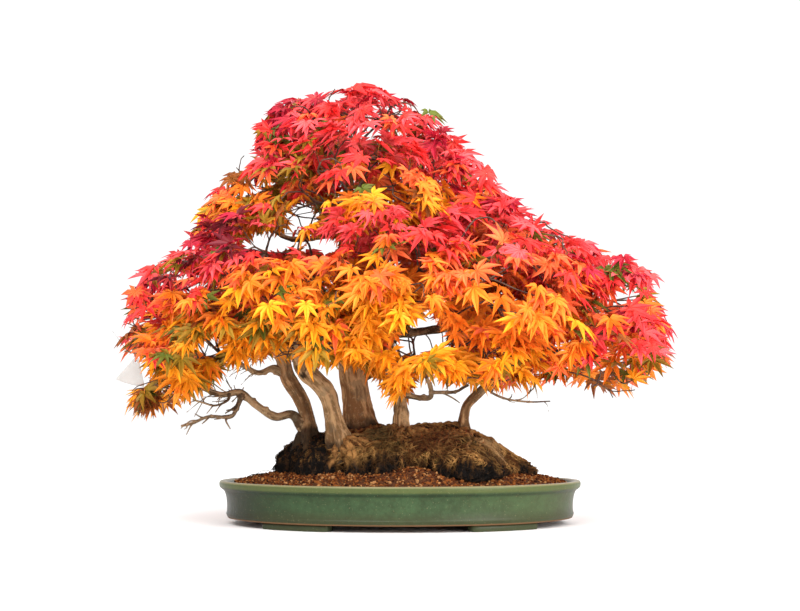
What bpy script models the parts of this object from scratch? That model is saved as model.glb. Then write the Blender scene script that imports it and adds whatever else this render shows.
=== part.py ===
"""Japanese maple bonsai: five trunks that rise from one root mound in an oval glazed pot.

Metres, +Z up, front towards -Y. The origin lies on the surface under the pot's feet, below
the middle of the crown.
"""

import math

import bmesh
import bpy
import numpy as np
from mathutils import Matrix, Vector, noise
from mathutils.bvhtree import BVHTree

MM = 0.001
GAP = 0.0003
CUT_GAP = 0.0005
MOUND_GAP = 0.0006
CLEAR = 0.0008
MERGE = 1e-6

# The pot: an oval turned shape, the same section all round.
POT_LENGTH = 0.501
POT_WIDTH = 0.366
POT_RIM_Z = 0.059
POT_BASE_Z = 0.0087
POT_FLOOR_Z = 0.0155
POT_BASE_INSET = 0.0118
POT_SECTIONS = 36
FOOT_INSET = 0.004
FOOT_DEPTH = 0.020
FOOT_FROM = math.radians(38.5)
FOOT_TO = math.radians(66.5)
FOOT_STEPS = 4
FOOT_TAPER = 0.94

# The soil, heaped towards the root mound.
SOIL_EDGE_Z = 0.0545
SOIL_HEAP = 0.026
SOIL_BUMP = 0.003
SOIL_BUMP_PITCH = 0.026
SOIL_RINGS = 6

# The root mound: a flat-topped lump with lobes at its foot.
MOUND_CENTRE = Vector((0.006, 0.000, 0.070))
MOUND_HALF = Vector((0.176, 0.116, 0.062))
MOUND_DEPTH = 0.016
MOUND_SQUARENESS = 0.74
MOUND_LUMP = 0.005
MOUND_LUMP_PITCH = 0.017
MOUND_FALL_RIGHT = 0.030
MOUND_FALL_FRONT = 0.012

# The crown's outline, by height: left edge, right edge, half depth.
CROWN_TOP_Z = 0.612
CROWN_ROWS = (
    (0.618, -0.085, -0.045, 0.030),
    (0.600, -0.152, 0.016, 0.085),
    (0.565, -0.194, 0.055, 0.125),
    (0.500, -0.232, 0.112, 0.165),
    (0.444, -0.276, 0.172, 0.200),
    (0.390, -0.310, 0.262, 0.238),
    (0.343, -0.376, 0.360, 0.265),
    (0.280, -0.395, 0.390, 0.280),
    (0.210, -0.395, 0.385, 0.275),
    (0.155, -0.384, 0.320, 0.230),
)
CROWN_POWER = 2.8

# Trunks and boughs, in millimetres: route from foot to tip, and the radius at each point.
TRUNKS = {
    "trunk_left": (
        ((-127, -8, 96), (-127, -8, 120), (-130, -8, 148), (-139, -8, 174), (-156, -8, 200),
         (-164, -6, 228), (-178, 0, 262), (-200, 4, 292)),
        (14.0, 10.5, 9.2, 10.2, 10.8, 9.6, 6.5, 4.0),
    ),
    "trunk_front": (
        ((-81, -58, 84), (-81, -58, 107), (-87, -57, 134), (-93, -57, 160), (-99, -58, 178),
         (-112, -60, 194), (-127, -64, 209), (-140, -72, 240), (-142, -88, 278)),
        (18.0, 13.6, 12.2, 11.6, 12.6, 12.0, 12.5, 8.0, 4.0),
    ),
    "trunk_main": (
        ((-55, 30, 92), (-55, 30, 126), (-60, 30, 160), (-63, 30, 187), (-68, 28, 215),
         (-79, 24, 310), (-75, 20, 413), (-70, 6, 505)),
        (29.0, 22.0, 19.8, 19.2, 19.6, 15.5, 9.8, 4.0),
    ),
    "trunk_middle": (
        ((2, -20, 96), (2, -20, 124), (1, -20, 148), (1, -20, 167), (-4, -21, 187),
         (-16, -23, 210), (-22, -26, 229), (-14, -30, 252), (2, -42, 280), (24, -66, 300)),
        (14.0, 10.0, 10.2, 8.2, 8.4, 8.6, 8.8, 8.2, 5.0, 3.2),
    ),
    "trunk_right": (
        ((89, 0, 98), (89, 0, 124), (89, 0, 142), (93, 0, 161), (104, 0, 174),
         (117, 0, 186), (132, -1, 200), (160, -4, 212), (186, -8, 222)),
        (12.0, 7.4, 6.4, 6.3, 6.9, 6.6, 6.0, 4.6, 3.2),
    ),
}
BOUGHS = {
    "bough_low_left": (
        "trunk_left",
        ((-127, -8, 124), (-138, -10, 138), (-152, -12, 150), (-173, -14, 147), (-200, -18, 163),
         (-221, -21, 180), (-247, -25, 177), (-272, -28, 186)),
        (7.0, 6.8, 6.4, 5.9, 5.3, 5.0, 4.0, 3.2),
    ),
    "bough_left": (
        "trunk_left",
        ((-162, -8, 206), (-176, -12, 214), (-196, -20, 207), (-214, -30, 216), (-232, -42, 226)),
        (5.0, 4.2, 3.8, 3.4, 2.6),
    ),
    "bough_front_left": (
        "trunk_front",
        ((-125, -64, 204), (-118, -78, 214), (-112, -92, 226)),
        (5.0, 4.4, 2.8),
    ),
    "bough_elbow": (
        "trunk_middle",
        ((1, -20, 178), (10, -22, 177), (24, -26, 173), (41, -32, 173), (42, -40, 186),
         (36, -52, 200)),
        (4.4, 4.2, 3.8, 3.8, 3.2, 2.4),
    ),
    "bough_front": (
        "trunk_main",
        ((-73, 26, 262), (-66, -4, 282), (-52, -52, 290), (-32, -104, 304)),
        (7.0, 6.0, 4.6, 3.0),
    ),
    "bough_right": (
        "trunk_main",
        ((-73, 26, 250), (-40, 30, 262), (40, 24, 268), (130, 14, 288), (206, 6, 304)),
        (8.0, 7.2, 6.0, 4.6, 3.2),
    ),
    "bough_back_left": (
        "trunk_main",
        ((-75, 26, 272), (-84, 56, 288), (-108, 108, 304)),
        (6.6, 5.4, 3.0),
    ),
    "bough_back_right": (
        "trunk_main",
        ((-77, 25, 292), (-44, 52, 300), (34, 112, 312)),
        (6.6, 5.2, 3.0),
    ),
    "bough_low_back": (
        "trunk_main",
        ((-62, 30, 190), (-44, 58, 206), (6, 98, 222)),
        (6.0, 5.0, 2.8),
    ),
    "bough_shoulder": (
        "trunk_main",
        ((-79, 24, 318), (-44, 16, 332), (36, 10, 352), (104, 8, 372)),
        (6.6, 5.6, 4.4, 2.8),
    ),
    "bough_upper_left": (
        "trunk_main",
        ((-75, 20, 404), (-101, 12, 402), (-137, 4, 396), (-160, -2, 398), (-182, -8, 410),
         (-204, -12, 419)),
        (5.0, 4.4, 3.8, 3.4, 3.0, 2.4),
    ),
    "bough_upper_right": (
        "trunk_main",
        ((-75, 20, 400), (-52, 16, 403), (-6, 8, 412), (24, 2, 420)),
        (5.0, 4.4, 3.6, 2.6),
    ),
    "bough_upper_front": (
        "trunk_main",
        ((-75, 20, 414), (-72, -8, 424), (-66, -58, 438)),
        (5.4, 4.6, 2.8),
    ),
    "bough_upper_back": (
        "trunk_main",
        ((-75, 19, 424), (-72, 44, 434), (-62, 80, 446)),
        (5.4, 4.6, 2.8),
    ),
}
BARE = {
    "bare_branch": (
        "bough_low_left",
        ((-218, -21, 178), (-226, -26, 156), (-235, -29, 146), (-262, -32, 147), (-284, -35, 138),
         (-300, -37, 134)),
        (2.4, 2.2, 2.0, 1.7, 1.4, 1.0),
    ),
    "bare_twig_left": (
        "bough_low_left",
        ((-236, -24, 178), (-236, -40, 169), (-252, -48, 162), (-268, -52, 166), (-282, -54, 170)),
        (2.0, 1.7, 1.5, 1.3, 1.0),
    ),
    "bare_fork": (
        "bough_elbow",
        ((40, -36, 180), (58, -40, 180), (76, -42, 181), (94, -44, 190)),
        (2.8, 2.4, 2.0, 1.5),
    ),
    "tag_twig": (
        "bough_low_left",
        ((-250, -25, 178), (-290, -46, 200), (-330, -58, 224), (-357, -60, 232), (-374, -61, 236)),
        (2.3, 1.9, 1.6, 1.3, 0.9),
    ),
    "bare_twig_right": (
        "trunk_right",
        ((121, 0, 191), (126, -10, 181), (148, -16, 171), (180, -18, 167), (208, -18, 168)),
        (2.2, 2.0, 1.8, 1.5, 1.0),
    ),
}
CURVE_STEP = 0.016
KNOB_SIZE = 0.10
KNOB_PITCH = 0.018
THIN_LIMB = 4.0

# Foliage masses, in millimetres: the limb that carries it, centre and half sizes.
MASSES = {
    "foliage_top": ("trunk_main", (-62, -5, 542), (168, 138, 84)),
    "foliage_upper_left": ("bough_upper_left", (-192, -10, 474), (124, 135, 76)),
    "foliage_upper_right": ("bough_upper_right", (80, -5, 482), (126, 135, 88)),
    "foliage_upper_front": ("bough_upper_front", (-55, -130, 452), (132, 100, 82)),
    "foliage_upper_back": ("bough_upper_back", (-50, 135, 462), (145, 112, 84)),
    "foliage_shoulder": ("bough_shoulder", (182, 5, 398), (124, 150, 78)),
    "foliage_left": ("trunk_left", (-288, -10, 332), (126, 156, 76)),
    "foliage_front_left": ("trunk_front", (-152, -165, 328), (116, 116, 72)),
    "foliage_front": ("bough_front", (-15, -188, 340), (120, 106, 76)),
    "foliage_front_right": ("trunk_middle", (115, -165, 322), (120, 120, 74)),
    "foliage_right": ("bough_right", (292, -10, 318), (120, 156, 74)),
    "foliage_back_left": ("bough_back_left", (-160, 180, 330), (155, 116, 84)),
    "foliage_back_right": ("bough_back_right", (110, 185, 335), (160, 116, 88)),
    "foliage_low_left": ("bough_low_left", (-312, -20, 228), (104, 136, 66)),
    "foliage_low_centre_left": ("bough_left", (-222, -90, 262), (92, 100, 50)),
    "foliage_low_front_left": ("bough_front_left", (-105, -130, 256), (98, 92, 50)),
    "foliage_low_front": ("bough_elbow", (58, -125, 236), (118, 100, 60)),
    "foliage_low_right": ("trunk_right", (272, -20, 232), (136, 156, 70)),
    "foliage_low_back": ("bough_low_back", (40, 165, 240), (160, 118, 64)),
}
CELL_MARGIN = 0.015
SPRAY_SHARE = 3.0
SPRAY_SPACING = 0.040
SPRAY_TRIES = 60
FIRST_TWIG = 0.014
SPRAY_INSET = 0.024
LEAF_OVER = 0.008
TWIG_TIP = 0.0013
STRAIGHT_TWIG = 0.045
HUB_HEIGHT = 1.6
TWIG_CORNERS = np.radians((90, 210, 330))
TWIG_THICKENING = 0.42
TWIG_PROBE = 0.0018
STEM_SHARE = 0.92
LEAF_LENGTH = (0.078, 0.106)
LEAF_REACH = 1.45
LEAF_THICKNESS = 0.022
LEAF_MIDDLE = 0.30
LEAF_RISE = 0.16
# One side of a leaf's outline, base to tip: distance along it, and out from its midrib.
LEAF_SIDE = ((0.44, 0.62), (0.46, 0.26))
LEAF_TRIES = 40
LEAF_OUTWARD = 0.6
LEAF_HANG = 0.35
LEAF_SHRINK = 0.965
LEAF_LEAST_FACING = 0.45

# The paper tag, a fan that hangs by a loop of thread from its own twig.
TAG_HOLE = Vector((-0.3560, -0.0600, 0.2180))
TAG_LENGTH = 0.040
TAG_SPREAD = math.radians(27)
TAG_TILT = math.radians(-14)
TAG_THICKNESS = 0.0010
TAG_HOLE_RADIUS = 0.0017
TAG_ABOVE_HOLE = 0.0065
THREAD_RADIUS = 0.0004
THREAD_TOP = 0.2345

SEED = 1207
UNION_TRIES = 24
UNION_NUDGE = 0.00008


def clear_scene():
    """Removes the objects that the scene starts with."""
    for item in list(bpy.data.objects):
        bpy.data.objects.remove(item, do_unlink=True)


def new_collection(name):
    collection = bpy.data.collections.new(name)
    bpy.context.scene.collection.children.link(collection)
    return collection


def new_material(name, colour, roughness):
    material = bpy.data.materials.new(name)
    material.use_nodes = True
    shader = material.node_tree.nodes["Principled BSDF"]
    shader.inputs["Base Color"].default_value = (*colour, 1.0)
    shader.inputs["Roughness"].default_value = roughness
    shader.inputs["Metallic"].default_value = 0.0
    material.diffuse_color = (*colour, 1.0)
    return material


def new_object(name, mesh, collection, material=None):
    item = bpy.data.objects.new(name, mesh)
    collection.objects.link(item)
    if material is not None:
        mesh.materials.clear()
        mesh.materials.append(material)
    return item


def mesh_of(name, points, faces):
    mesh = bpy.data.meshes.new(name)
    mesh.from_pydata([tuple(point) for point in points], [], [tuple(face) for face in faces])
    return mesh


def evaluated_mesh(item):
    """The object's mesh with its modifiers, or a curve's tube, made fast."""
    bpy.context.view_layer.update()
    return bpy.data.meshes.new_from_object(
        item.evaluated_get(bpy.context.evaluated_depsgraph_get())
    )


def coordinates(mesh):
    values = np.empty(len(mesh.vertices) * 3, np.float32)
    mesh.vertices.foreach_get("co", values)
    return values.reshape(-1, 3).astype(float)


def set_coordinates(mesh, values):
    mesh.vertices.foreach_set("co", np.asarray(values, np.float32).ravel())
    mesh.update()


def centre_over(items):
    """Moves everything sideways so that the origin lies under the middle of the whole plant."""
    places = np.vstack([coordinates(item.data) for item in items])
    low, high = places.min(axis=0), places.max(axis=0)
    shift = Matrix.Translation((-(low[0] + high[0]) / 2, -(low[1] + high[1]) / 2, 0.0))
    for item in items:
        item.data.transform(shift)


def weld(mesh):
    """Merges doubles and turns every face out. Triangles keep a cutter's faces flat too."""
    shape = bmesh.new()
    shape.from_mesh(mesh)
    bmesh.ops.remove_doubles(shape, verts=shape.verts, dist=MERGE)
    bmesh.ops.triangulate(shape, faces=shape.faces)
    bmesh.ops.recalc_face_normals(shape, faces=shape.faces)
    if shape.calc_volume(signed=True) < 0:
        bmesh.ops.reverse_faces(shape, faces=shape.faces)
    shape.to_mesh(mesh)
    shape.free()


def noise_at(points, pitch):
    """Smooth noise from -1 to 1 at each point, with about pitch metres from bump to bump."""
    return np.array([noise.noise(Vector(point) / pitch) for point in points])


def grown_copy(item, distance, collection):
    """A cutter: the object's mesh moved out along its normals."""
    mesh = item.data.copy()
    normals = np.array([vertex.normal for vertex in mesh.vertices])
    set_coordinates(mesh, coordinates(mesh) + normals * distance)
    cutter = new_object(item.name + "_cutter", mesh, collection)
    cutter.hide_render = True
    cutter.display_type = "WIRE"
    return cutter


def cut(item, cutters):
    for cutter in cutters:
        modifier = item.modifiers.new("cut by " + cutter.name, "BOOLEAN")
        modifier.operation = "DIFFERENCE"
        modifier.object = cutter
        modifier.solver = "EXACT"
    mesh = evaluated_mesh(item)
    item.modifiers.clear()
    item.data = mesh


def smooth_route(points):
    """Points about CURVE_STEP apart on a Catmull-Rom curve through the given points.

    Returns the points and, for each, its place along the given list."""
    points = np.asarray(points, float)
    ends = np.vstack([2 * points[0] - points[1], points, 2 * points[-1] - points[-2]])
    route, places = [], []
    for index in range(len(points) - 1):
        before, start, end, after = ends[index:index + 4]
        count = max(1, round(np.linalg.norm(end - start) / CURVE_STEP))
        for t in np.arange(count) / count:
            route.append(0.5 * (
                2 * start + (end - before) * t
                + (2 * before - 5 * start + 4 * end - after) * t**2
                + (3 * start - before - 3 * end + after) * t**3
            ))
            places.append(index + t)
    return np.array(route + [points[-1]]), np.array(places + [len(points) - 1.0])


def tapered_tube(name, route, radii, resolution):
    """A curve object with a radius at each point and filled caps, made a mesh."""
    curve = bpy.data.curves.new(name, "CURVE")
    curve.dimensions = "3D"
    curve.bevel_depth = 1.0
    curve.bevel_resolution = resolution
    curve.use_fill_caps = True
    spline = curve.splines.new("POLY")
    spline.points.add(len(route) - 1)
    for point, place, radius in zip(spline.points, route, radii):
        point.co = (*place, 1.0)
        point.radius = radius
    guide = bpy.data.objects.new(name + "_curve", curve)
    bpy.context.scene.collection.objects.link(guide)
    mesh = evaluated_mesh(guide)
    bpy.data.objects.remove(guide, do_unlink=True)
    weld(mesh)
    return mesh


def make_limb(name, points, radii, material, collection, resolution):
    """One tapering limb with knobs, its two ends left flat."""
    route, places = smooth_route(np.array(points) * MM)
    widths = np.interp(places, np.arange(len(radii)), np.array(radii) * MM)
    mesh = tapered_tube(name, route, widths, resolution)
    skin = coordinates(mesh)
    nearest = np.argmin(np.linalg.norm(skin[:, None] - route[None], axis=2), axis=1)
    inner = (nearest > 0) & (nearest < len(route) - 1)
    swell = KNOB_SIZE * inner * noise_at(skin, KNOB_PITCH)
    set_coordinates(mesh, skin + (skin - route[nearest]) * swell[:, None])
    weld(mesh)
    mesh.shade_smooth()
    item = new_object(name, mesh, collection, material)
    direction = route[-1] - route[-2]
    tips[name] = (route[-1], direction / np.linalg.norm(direction), widths[-1])
    return item


# ---------------------------------------------------------------- pot, soil and mound


def turned_oval(name, profile, sections, material, collection):
    """A profile turned about the Z axis, then narrowed front to back to the pot's oval."""
    mesh = bpy.data.meshes.new(name)
    shape = bmesh.new()
    corners = [shape.verts.new((radius, 0.0, z)) for radius, z in profile]
    for first, second in zip(corners, corners[1:]):
        shape.edges.new((first, second))
    shape.to_mesh(mesh)
    shape.free()
    item = new_object(name, mesh, collection, material)
    screw = item.modifiers.new("turn", "SCREW")
    screw.steps = sections
    screw.render_steps = sections
    screw.use_merge_vertices = True
    screw.merge_threshold = 1e-5
    screw.use_smooth_shade = True
    item.data = evaluated_mesh(item)
    item.modifiers.clear()
    weld(item.data)
    item.data.transform(Matrix.Diagonal((1.0, POT_WIDTH / POT_LENGTH, 1.0, 1.0)))
    return item


def pot_outer():
    """The pot's outside, lip to base: radius along its length and height."""
    half = POT_LENGTH / 2
    return (
        (half - 0.0095, POT_RIM_Z),
        (half - 0.0022, POT_RIM_Z),
        (half, POT_RIM_Z - 0.0022),
        (half, POT_RIM_Z - 0.0075),
        (half - 0.0030, POT_RIM_Z - 0.0102),
        (half - 0.0076, POT_RIM_Z - 0.0150),
        (half - 0.0108, POT_RIM_Z - 0.0300),
        (half - 0.0100, POT_BASE_Z + 0.0052),
        (half - POT_BASE_INSET, POT_BASE_Z),
    )


def pot_inner():
    """The pot's inside, floor to lip."""
    half = POT_LENGTH / 2
    return (
        (half - 0.0320, POT_FLOOR_Z),
        (half - 0.0250, POT_FLOOR_Z + 0.0060),
        (half - 0.0210, POT_RIM_Z - 0.0150),
        (half - 0.0140, POT_RIM_Z - 0.0040),
    )


def make_pot(collection, material):
    profile = ((0.0, POT_FLOOR_Z), *pot_inner(), *pot_outer(), (0.0, POT_BASE_Z))
    return turned_oval("pot", profile, POT_SECTIONS, material, collection)


def make_foot(name, mirror_x, mirror_y, collection, material):
    """A block bent to the pot's oval, its ends leaning in a little."""
    shape = bmesh.new()
    bmesh.ops.create_cube(shape, size=1.0)
    for step in range(1, FOOT_STEPS):
        bmesh.ops.bisect_plane(
            shape, geom=shape.verts[:] + shape.edges[:] + shape.faces[:],
            plane_co=(step / FOOT_STEPS - 0.5, 0, 0), plane_no=(1, 0, 0),
        )
    half = POT_LENGTH / 2 - POT_BASE_INSET
    depth = half * POT_WIDTH / POT_LENGTH
    for vertex in shape.verts:
        along, across, up = vertex.co
        lean = FOOT_TAPER if up < 0 else 1.0
        turn = (FOOT_FROM + FOOT_TO) / 2 + along * lean * (FOOT_TO - FOOT_FROM)
        inset = FOOT_INSET + (across + 0.5) * FOOT_DEPTH
        vertex.co = (
            mirror_x * (half - inset) * math.cos(turn),
            mirror_y * (depth - inset) * math.sin(turn),
            0.0 if up < 0 else POT_BASE_Z - GAP,
        )
    mesh = bpy.data.meshes.new(name)
    shape.to_mesh(mesh)
    shape.free()
    weld(mesh)
    return new_object(name, mesh, collection, material)


def make_soil(collection, material):
    """The fill: it keeps a gap to the pot's inside, and its top is heaped and uneven."""
    inside = [(radius - CUT_GAP, z) for radius, z in pot_inner()[:3]]
    inside[0] = (inside[0][0], POT_FLOOR_Z + GAP)
    inside[1] = (inside[1][0] - 0.0004, inside[1][1])
    edge = POT_LENGTH / 2 - 0.0178
    rings = np.linspace(0.0, 1.0, SOIL_RINGS)
    top = [
        (edge * ring, SOIL_EDGE_Z + SOIL_HEAP * (1 - ring**2) ** 0.8) for ring in rings
    ]
    profile = [*top, *inside[::-1], (0.0, POT_FLOOR_Z + GAP)]
    item = turned_oval("soil", profile, POT_SECTIONS, material, collection)
    places = coordinates(item.data)
    loose = places[:, 2] > SOIL_EDGE_Z + 0.001
    places[:, 2] += loose * noise_at(places, SOIL_BUMP_PITCH) * SOIL_BUMP
    set_coordinates(item.data, places)
    return item


def make_mound(collection, material):
    """A round lump made square-shouldered, its sides pushed out in lobes."""
    mesh = bpy.data.meshes.new("root_mound")
    shape = bmesh.new()
    bmesh.ops.create_uvsphere(shape, u_segments=26, v_segments=11, radius=1.0)
    shape.to_mesh(mesh)
    shape.free()
    unit = coordinates(mesh)
    flat = np.hypot(unit[:, 0], unit[:, 1])
    turn = np.arctan2(unit[:, 1], unit[:, 0])
    spread = flat ** MOUND_SQUARENESS
    rise = np.sign(unit[:, 2]) * np.abs(unit[:, 2]) ** 0.8
    lobes = 1 + 0.055 * np.sin(5 * turn + 0.6) + 0.035 * np.sin(11 * turn + 2.0)
    lobes += 0.07 * np.exp(-((turn + 1.0) / 0.35) ** 2)
    height = np.where(rise > 0, MOUND_HALF.z * rise, MOUND_DEPTH * rise)
    undercut = np.where(rise > 0, 1.0, 1.0 + 0.10 * rise)
    x = MOUND_HALF.x * spread * np.cos(turn) * lobes * undercut
    y = MOUND_HALF.y * spread * np.sin(turn) * lobes * undercut
    # The top falls away to the right and to the front.
    fall = MOUND_FALL_RIGHT * np.clip(x / MOUND_HALF.x - 0.45, 0, 1)
    fall += MOUND_FALL_FRONT * np.clip(-y / MOUND_HALF.y, 0, 1)
    height = np.where(rise > 0, height - fall * rise, height)
    places = np.stack([x, y, height], axis=1) + np.array(MOUND_CENTRE)
    lumps = MOUND_LUMP * noise_at(places, MOUND_LUMP_PITCH)
    set_coordinates(mesh, places + unit * lumps[:, None])
    weld(mesh)
    mesh.shade_smooth()
    return new_object("root_mound", mesh, collection, material)


def flat_curve(name, outlines):
    """A 2D curve object from closed outlines, the inner ones being holes."""
    curve = bpy.data.curves.new(name, "CURVE")
    curve.dimensions = "2D"
    curve.fill_mode = "BOTH"
    for outline in outlines:
        spline = curve.splines.new("POLY")
        spline.points.add(len(outline) - 1)
        for point, (x, y) in zip(spline.points, outline):
            point.co = (x, y, 0.0, 1.0)
        spline.use_cyclic_u = True
    return curve


def make_tag(collection, material):
    """A fan of card with a round lower edge, pierced near its point."""
    turns = np.linspace(-TAG_SPREAD, TAG_SPREAD, 7)
    top = 0.004
    fan = [(TAG_LENGTH * math.sin(turn), -TAG_LENGTH * math.cos(turn)) for turn in turns]
    fan += [(top, 0.0), (-top, 0.0)]
    outline = [(x, y + TAG_ABOVE_HOLE) for x, y in fan]
    around = np.linspace(0, math.tau, 8, endpoint=False)
    hole = [(TAG_HOLE_RADIUS * math.cos(t), TAG_HOLE_RADIUS * math.sin(t)) for t in around]
    curve = flat_curve("tag", (outline, hole))
    curve.extrude = TAG_THICKNESS / 2
    guide = bpy.data.objects.new("tag_curve", curve)
    bpy.context.scene.collection.objects.link(guide)
    mesh = evaluated_mesh(guide)
    bpy.data.objects.remove(guide, do_unlink=True)
    upright = Matrix.Rotation(math.radians(90), 4, "X") @ Matrix.Rotation(TAG_TILT, 4, "Z")
    mesh.transform(Matrix.Translation(TAG_HOLE) @ upright)
    weld(mesh)
    return new_object("tag", mesh, collection, material)


def make_thread(collection, material):
    """A loop of thread over the twig and through the tag's hole."""
    curve = bpy.data.curves.new("tag_thread", "CURVE")
    curve.dimensions = "3D"
    curve.bevel_depth = THREAD_RADIUS
    curve.bevel_resolution = 0
    spline = curve.splines.new("POLY")
    around = np.linspace(0, math.tau, 12, endpoint=False)
    spline.points.add(len(around) - 1)
    half = (THREAD_TOP - TAG_HOLE.z) / 2
    for point, turn in zip(spline.points, around):
        place = (TAG_HOLE.x, TAG_HOLE.y + 0.0032 * math.sin(turn),
                 TAG_HOLE.z + half * (1 + math.cos(turn)))
        point.co = (*place, 1.0)
    spline.use_cyclic_u = True
    guide = bpy.data.objects.new("thread_curve", curve)
    bpy.context.scene.collection.objects.link(guide)
    mesh = evaluated_mesh(guide)
    bpy.data.objects.remove(guide, do_unlink=True)
    weld(mesh)
    return new_object("tag_thread", mesh, collection, material)


# ---------------------------------------------------------------- foliage


def in_crown(points, shrink=0.0):
    """True for points inside the crown's outline, drawn in by shrink metres."""
    rows = np.array(CROWN_ROWS)[::-1]
    x, y, z = np.asarray(points).T
    left, right, depth = (np.interp(z, rows[:, 0], rows[:, column]) for column in (1, 2, 3))
    across = (x - (left + right) / 2) / ((right - left) / 2 - shrink)
    along = y / (depth - shrink)
    return (
        (np.abs(across) ** CROWN_POWER + np.abs(along) ** CROWN_POWER < 1)
        & (z < CROWN_TOP_Z - shrink)
    )


def in_mass(name, points, reach=1.0, shrink=0.0):
    """True for points in the mass's own space: nearer to it, by its sizes, than to any other."""
    points = np.asarray(points)
    away = {
        other: np.linalg.norm((points - np.array(centre) * MM) / (np.array(half) * MM), axis=1)
        for other, (_, centre, half) in MASSES.items()
    }
    mine = away.pop(name)
    others = np.min(list(away.values()), axis=0)
    return (mine < reach) & (mine + CELL_MARGIN < others) & in_crown(points, shrink)


def spray_points(name, rng):
    """Places for sprays of leaves, spaced out and most of them near the mass's skin."""
    _, centre, half = MASSES[name]
    centre, half = np.array(centre) * MM, np.array(half) * MM
    litres = 4 / 3 * math.pi * np.prod(half) * 1000
    wanted = round(SPRAY_SHARE * litres ** (2 / 3))
    found = []
    for _ in range(wanted * SPRAY_TRIES):
        if len(found) == wanted:
            break
        direction = rng.normal(size=3)
        direction /= np.linalg.norm(direction)
        if direction[2] < -0.35 and rng.random() < 0.5:
            continue
        reach = half * direction
        reach *= max(0.25, 1 - SPRAY_INSET / np.linalg.norm(reach))
        place = centre + reach * rng.uniform(0.3, 1.0) ** 0.5
        if not in_mass(name, place[None], shrink=SPRAY_INSET)[0]:
            continue
        if found and np.min(np.linalg.norm(np.array(found) - place, axis=1)) < SPRAY_SPACING:
            continue
        found.append(place)
    return np.array(found)


def twig_tree(start, direction, sprays):
    """Nodes and their parents: each spray joins the growing tree where that is shortest.

    Every run bends, because it leaves its node in that node's own direction."""
    nodes = [np.array(start), np.array(start) + direction * FIRST_TWIG]
    parents = [-1, 0]
    lengths = [0.0, FIRST_TWIG]
    heading = [direction, direction]
    ends = []
    for spray in sprays[np.argsort(np.linalg.norm(sprays - start, axis=1))]:
        known = np.array(nodes)
        away = spray - known
        distance = np.linalg.norm(away, axis=1) + 1e-9
        facing = np.sum(away * np.array(heading), axis=1) / distance
        cost = distance * (1.25 - 0.45 * facing) + 0.35 * np.array(lengths)
        cost[[0, *ends]] = math.inf
        joint = int(np.argmin(cost))
        bend = known[joint] + away[joint] * 0.5 + heading[joint] * distance[joint] * 0.16
        bend[2] += 0.06 * distance[joint]
        for place in (bend, spray) if distance[joint] > STRAIGHT_TWIG else (spray,):
            step = place - nodes[joint]
            nodes.append(place)
            parents.append(joint)
            lengths.append(lengths[joint] + np.linalg.norm(step))
            heading.append(step / (np.linalg.norm(step) + 1e-9))
            joint = len(nodes) - 1
        ends.append(joint)
    return np.array(nodes), parents, ends


def twig_rings(path, radii):
    """Three corners round each point of the path, turned as little as the bends allow."""
    path = np.asarray(path)
    steps = np.diff(path, axis=0)
    steps /= np.linalg.norm(steps, axis=1)[:, None]
    ahead = np.vstack([steps[0], steps[:-1] + steps[1:], steps[-1]])
    ahead /= np.linalg.norm(ahead, axis=1)[:, None]
    side = np.cross(ahead[0], (0.0, 0.0, 1.0) if abs(ahead[0][2]) < 0.9 else (0.0, 1.0, 0.0))
    rings = []
    for place, direction, radius in zip(path, ahead, radii):
        side = side - np.dot(side, direction) * direction
        side /= np.linalg.norm(side)
        up = np.cross(side, direction)
        rings.extend(
            place + radius * (side * math.cos(angle) + up * math.sin(angle))
            for angle in TWIG_CORNERS
        )
    return rings


def rod_faces(count):
    """The start cap and the sides of a rod of so many three-cornered rings."""
    faces = [(0, 1, 2)]
    for ring in range(count - 1):
        for corner in range(3):
            here, there = ring * 3 + corner, ring * 3 + (corner + 1) % 3
            faces.append((here, here + 3, there + 3, there))
    return faces


def rod_solid(path, radii):
    last = 3 * (len(path) - 1)
    return np.array(twig_rings(path, radii)), [*rod_faces(len(path)), (last + 2, last + 1, last)]


def leaf_blade(corners, axis, normal, length):
    """The new points and faces of a blade that grows out of a three-cornered base.

    Two corners of the base start the blade's edges and the third starts its ridge. The
    faces count the base's corners as 0, 1, 2 and the new points from 3."""
    across = np.cross(normal, axis)
    root = np.mean(corners, axis=0)
    spread = [float(np.dot(corner - root, across)) for corner in corners]
    order = np.argsort(spread)
    right, ridge, left = (int(index) for index in order)
    side = 1.0 if np.dot(corners[ridge] - root, normal) >= 0 else -1.0
    outline = [(u, -v) for u, v in LEAF_SIDE] + [(1.0, 0.0)]
    outline += [(u, v) for u, v in reversed(LEAF_SIDE)]

    def hang(u, v):
        return -LEAF_RISE * (max(0.0, u - 0.2) + 0.6 * abs(v))

    points = [root + length * (u * axis + v * across + hang(u, v) * normal) for u, v in outline]
    notch = LEAF_SIDE[1]
    level = hang(*notch) * LEAF_MIDDLE / notch[0] + side * LEAF_THICKNESS
    points.append(root + length * (LEAF_MIDDLE * axis + level * normal))
    tip_r, notch_r, tip, notch_l, tip_l, middle = range(3, 9)
    rim = (right, tip_r, notch_r, tip, notch_l, tip_l, left, ridge)
    faces = [(rim[i], rim[(i + 1) % 8], middle) for i in range(8)]
    faces += [(right, notch_r, tip_r), (notch_r, notch_l, tip), (notch_l, left, tip_l)]
    faces += [(right, notch_l, notch_r), (right, left, notch_l)]
    return points, faces


def surface_samples(points, faces):
    """The corners, the edge middles and the face middles, to test against a space."""
    middles = np.array([points[list(face)].mean(axis=0) for face in faces])
    edges = np.array([
        (points[a] + points[b]) / 2 for face in faces for a, b in zip(face, face[1:])
    ])
    return np.vstack([points, middles, edges])


def tree_of(points, faces):
    return BVHTree.FromPolygons([tuple(point) for point in points], faces)


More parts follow.
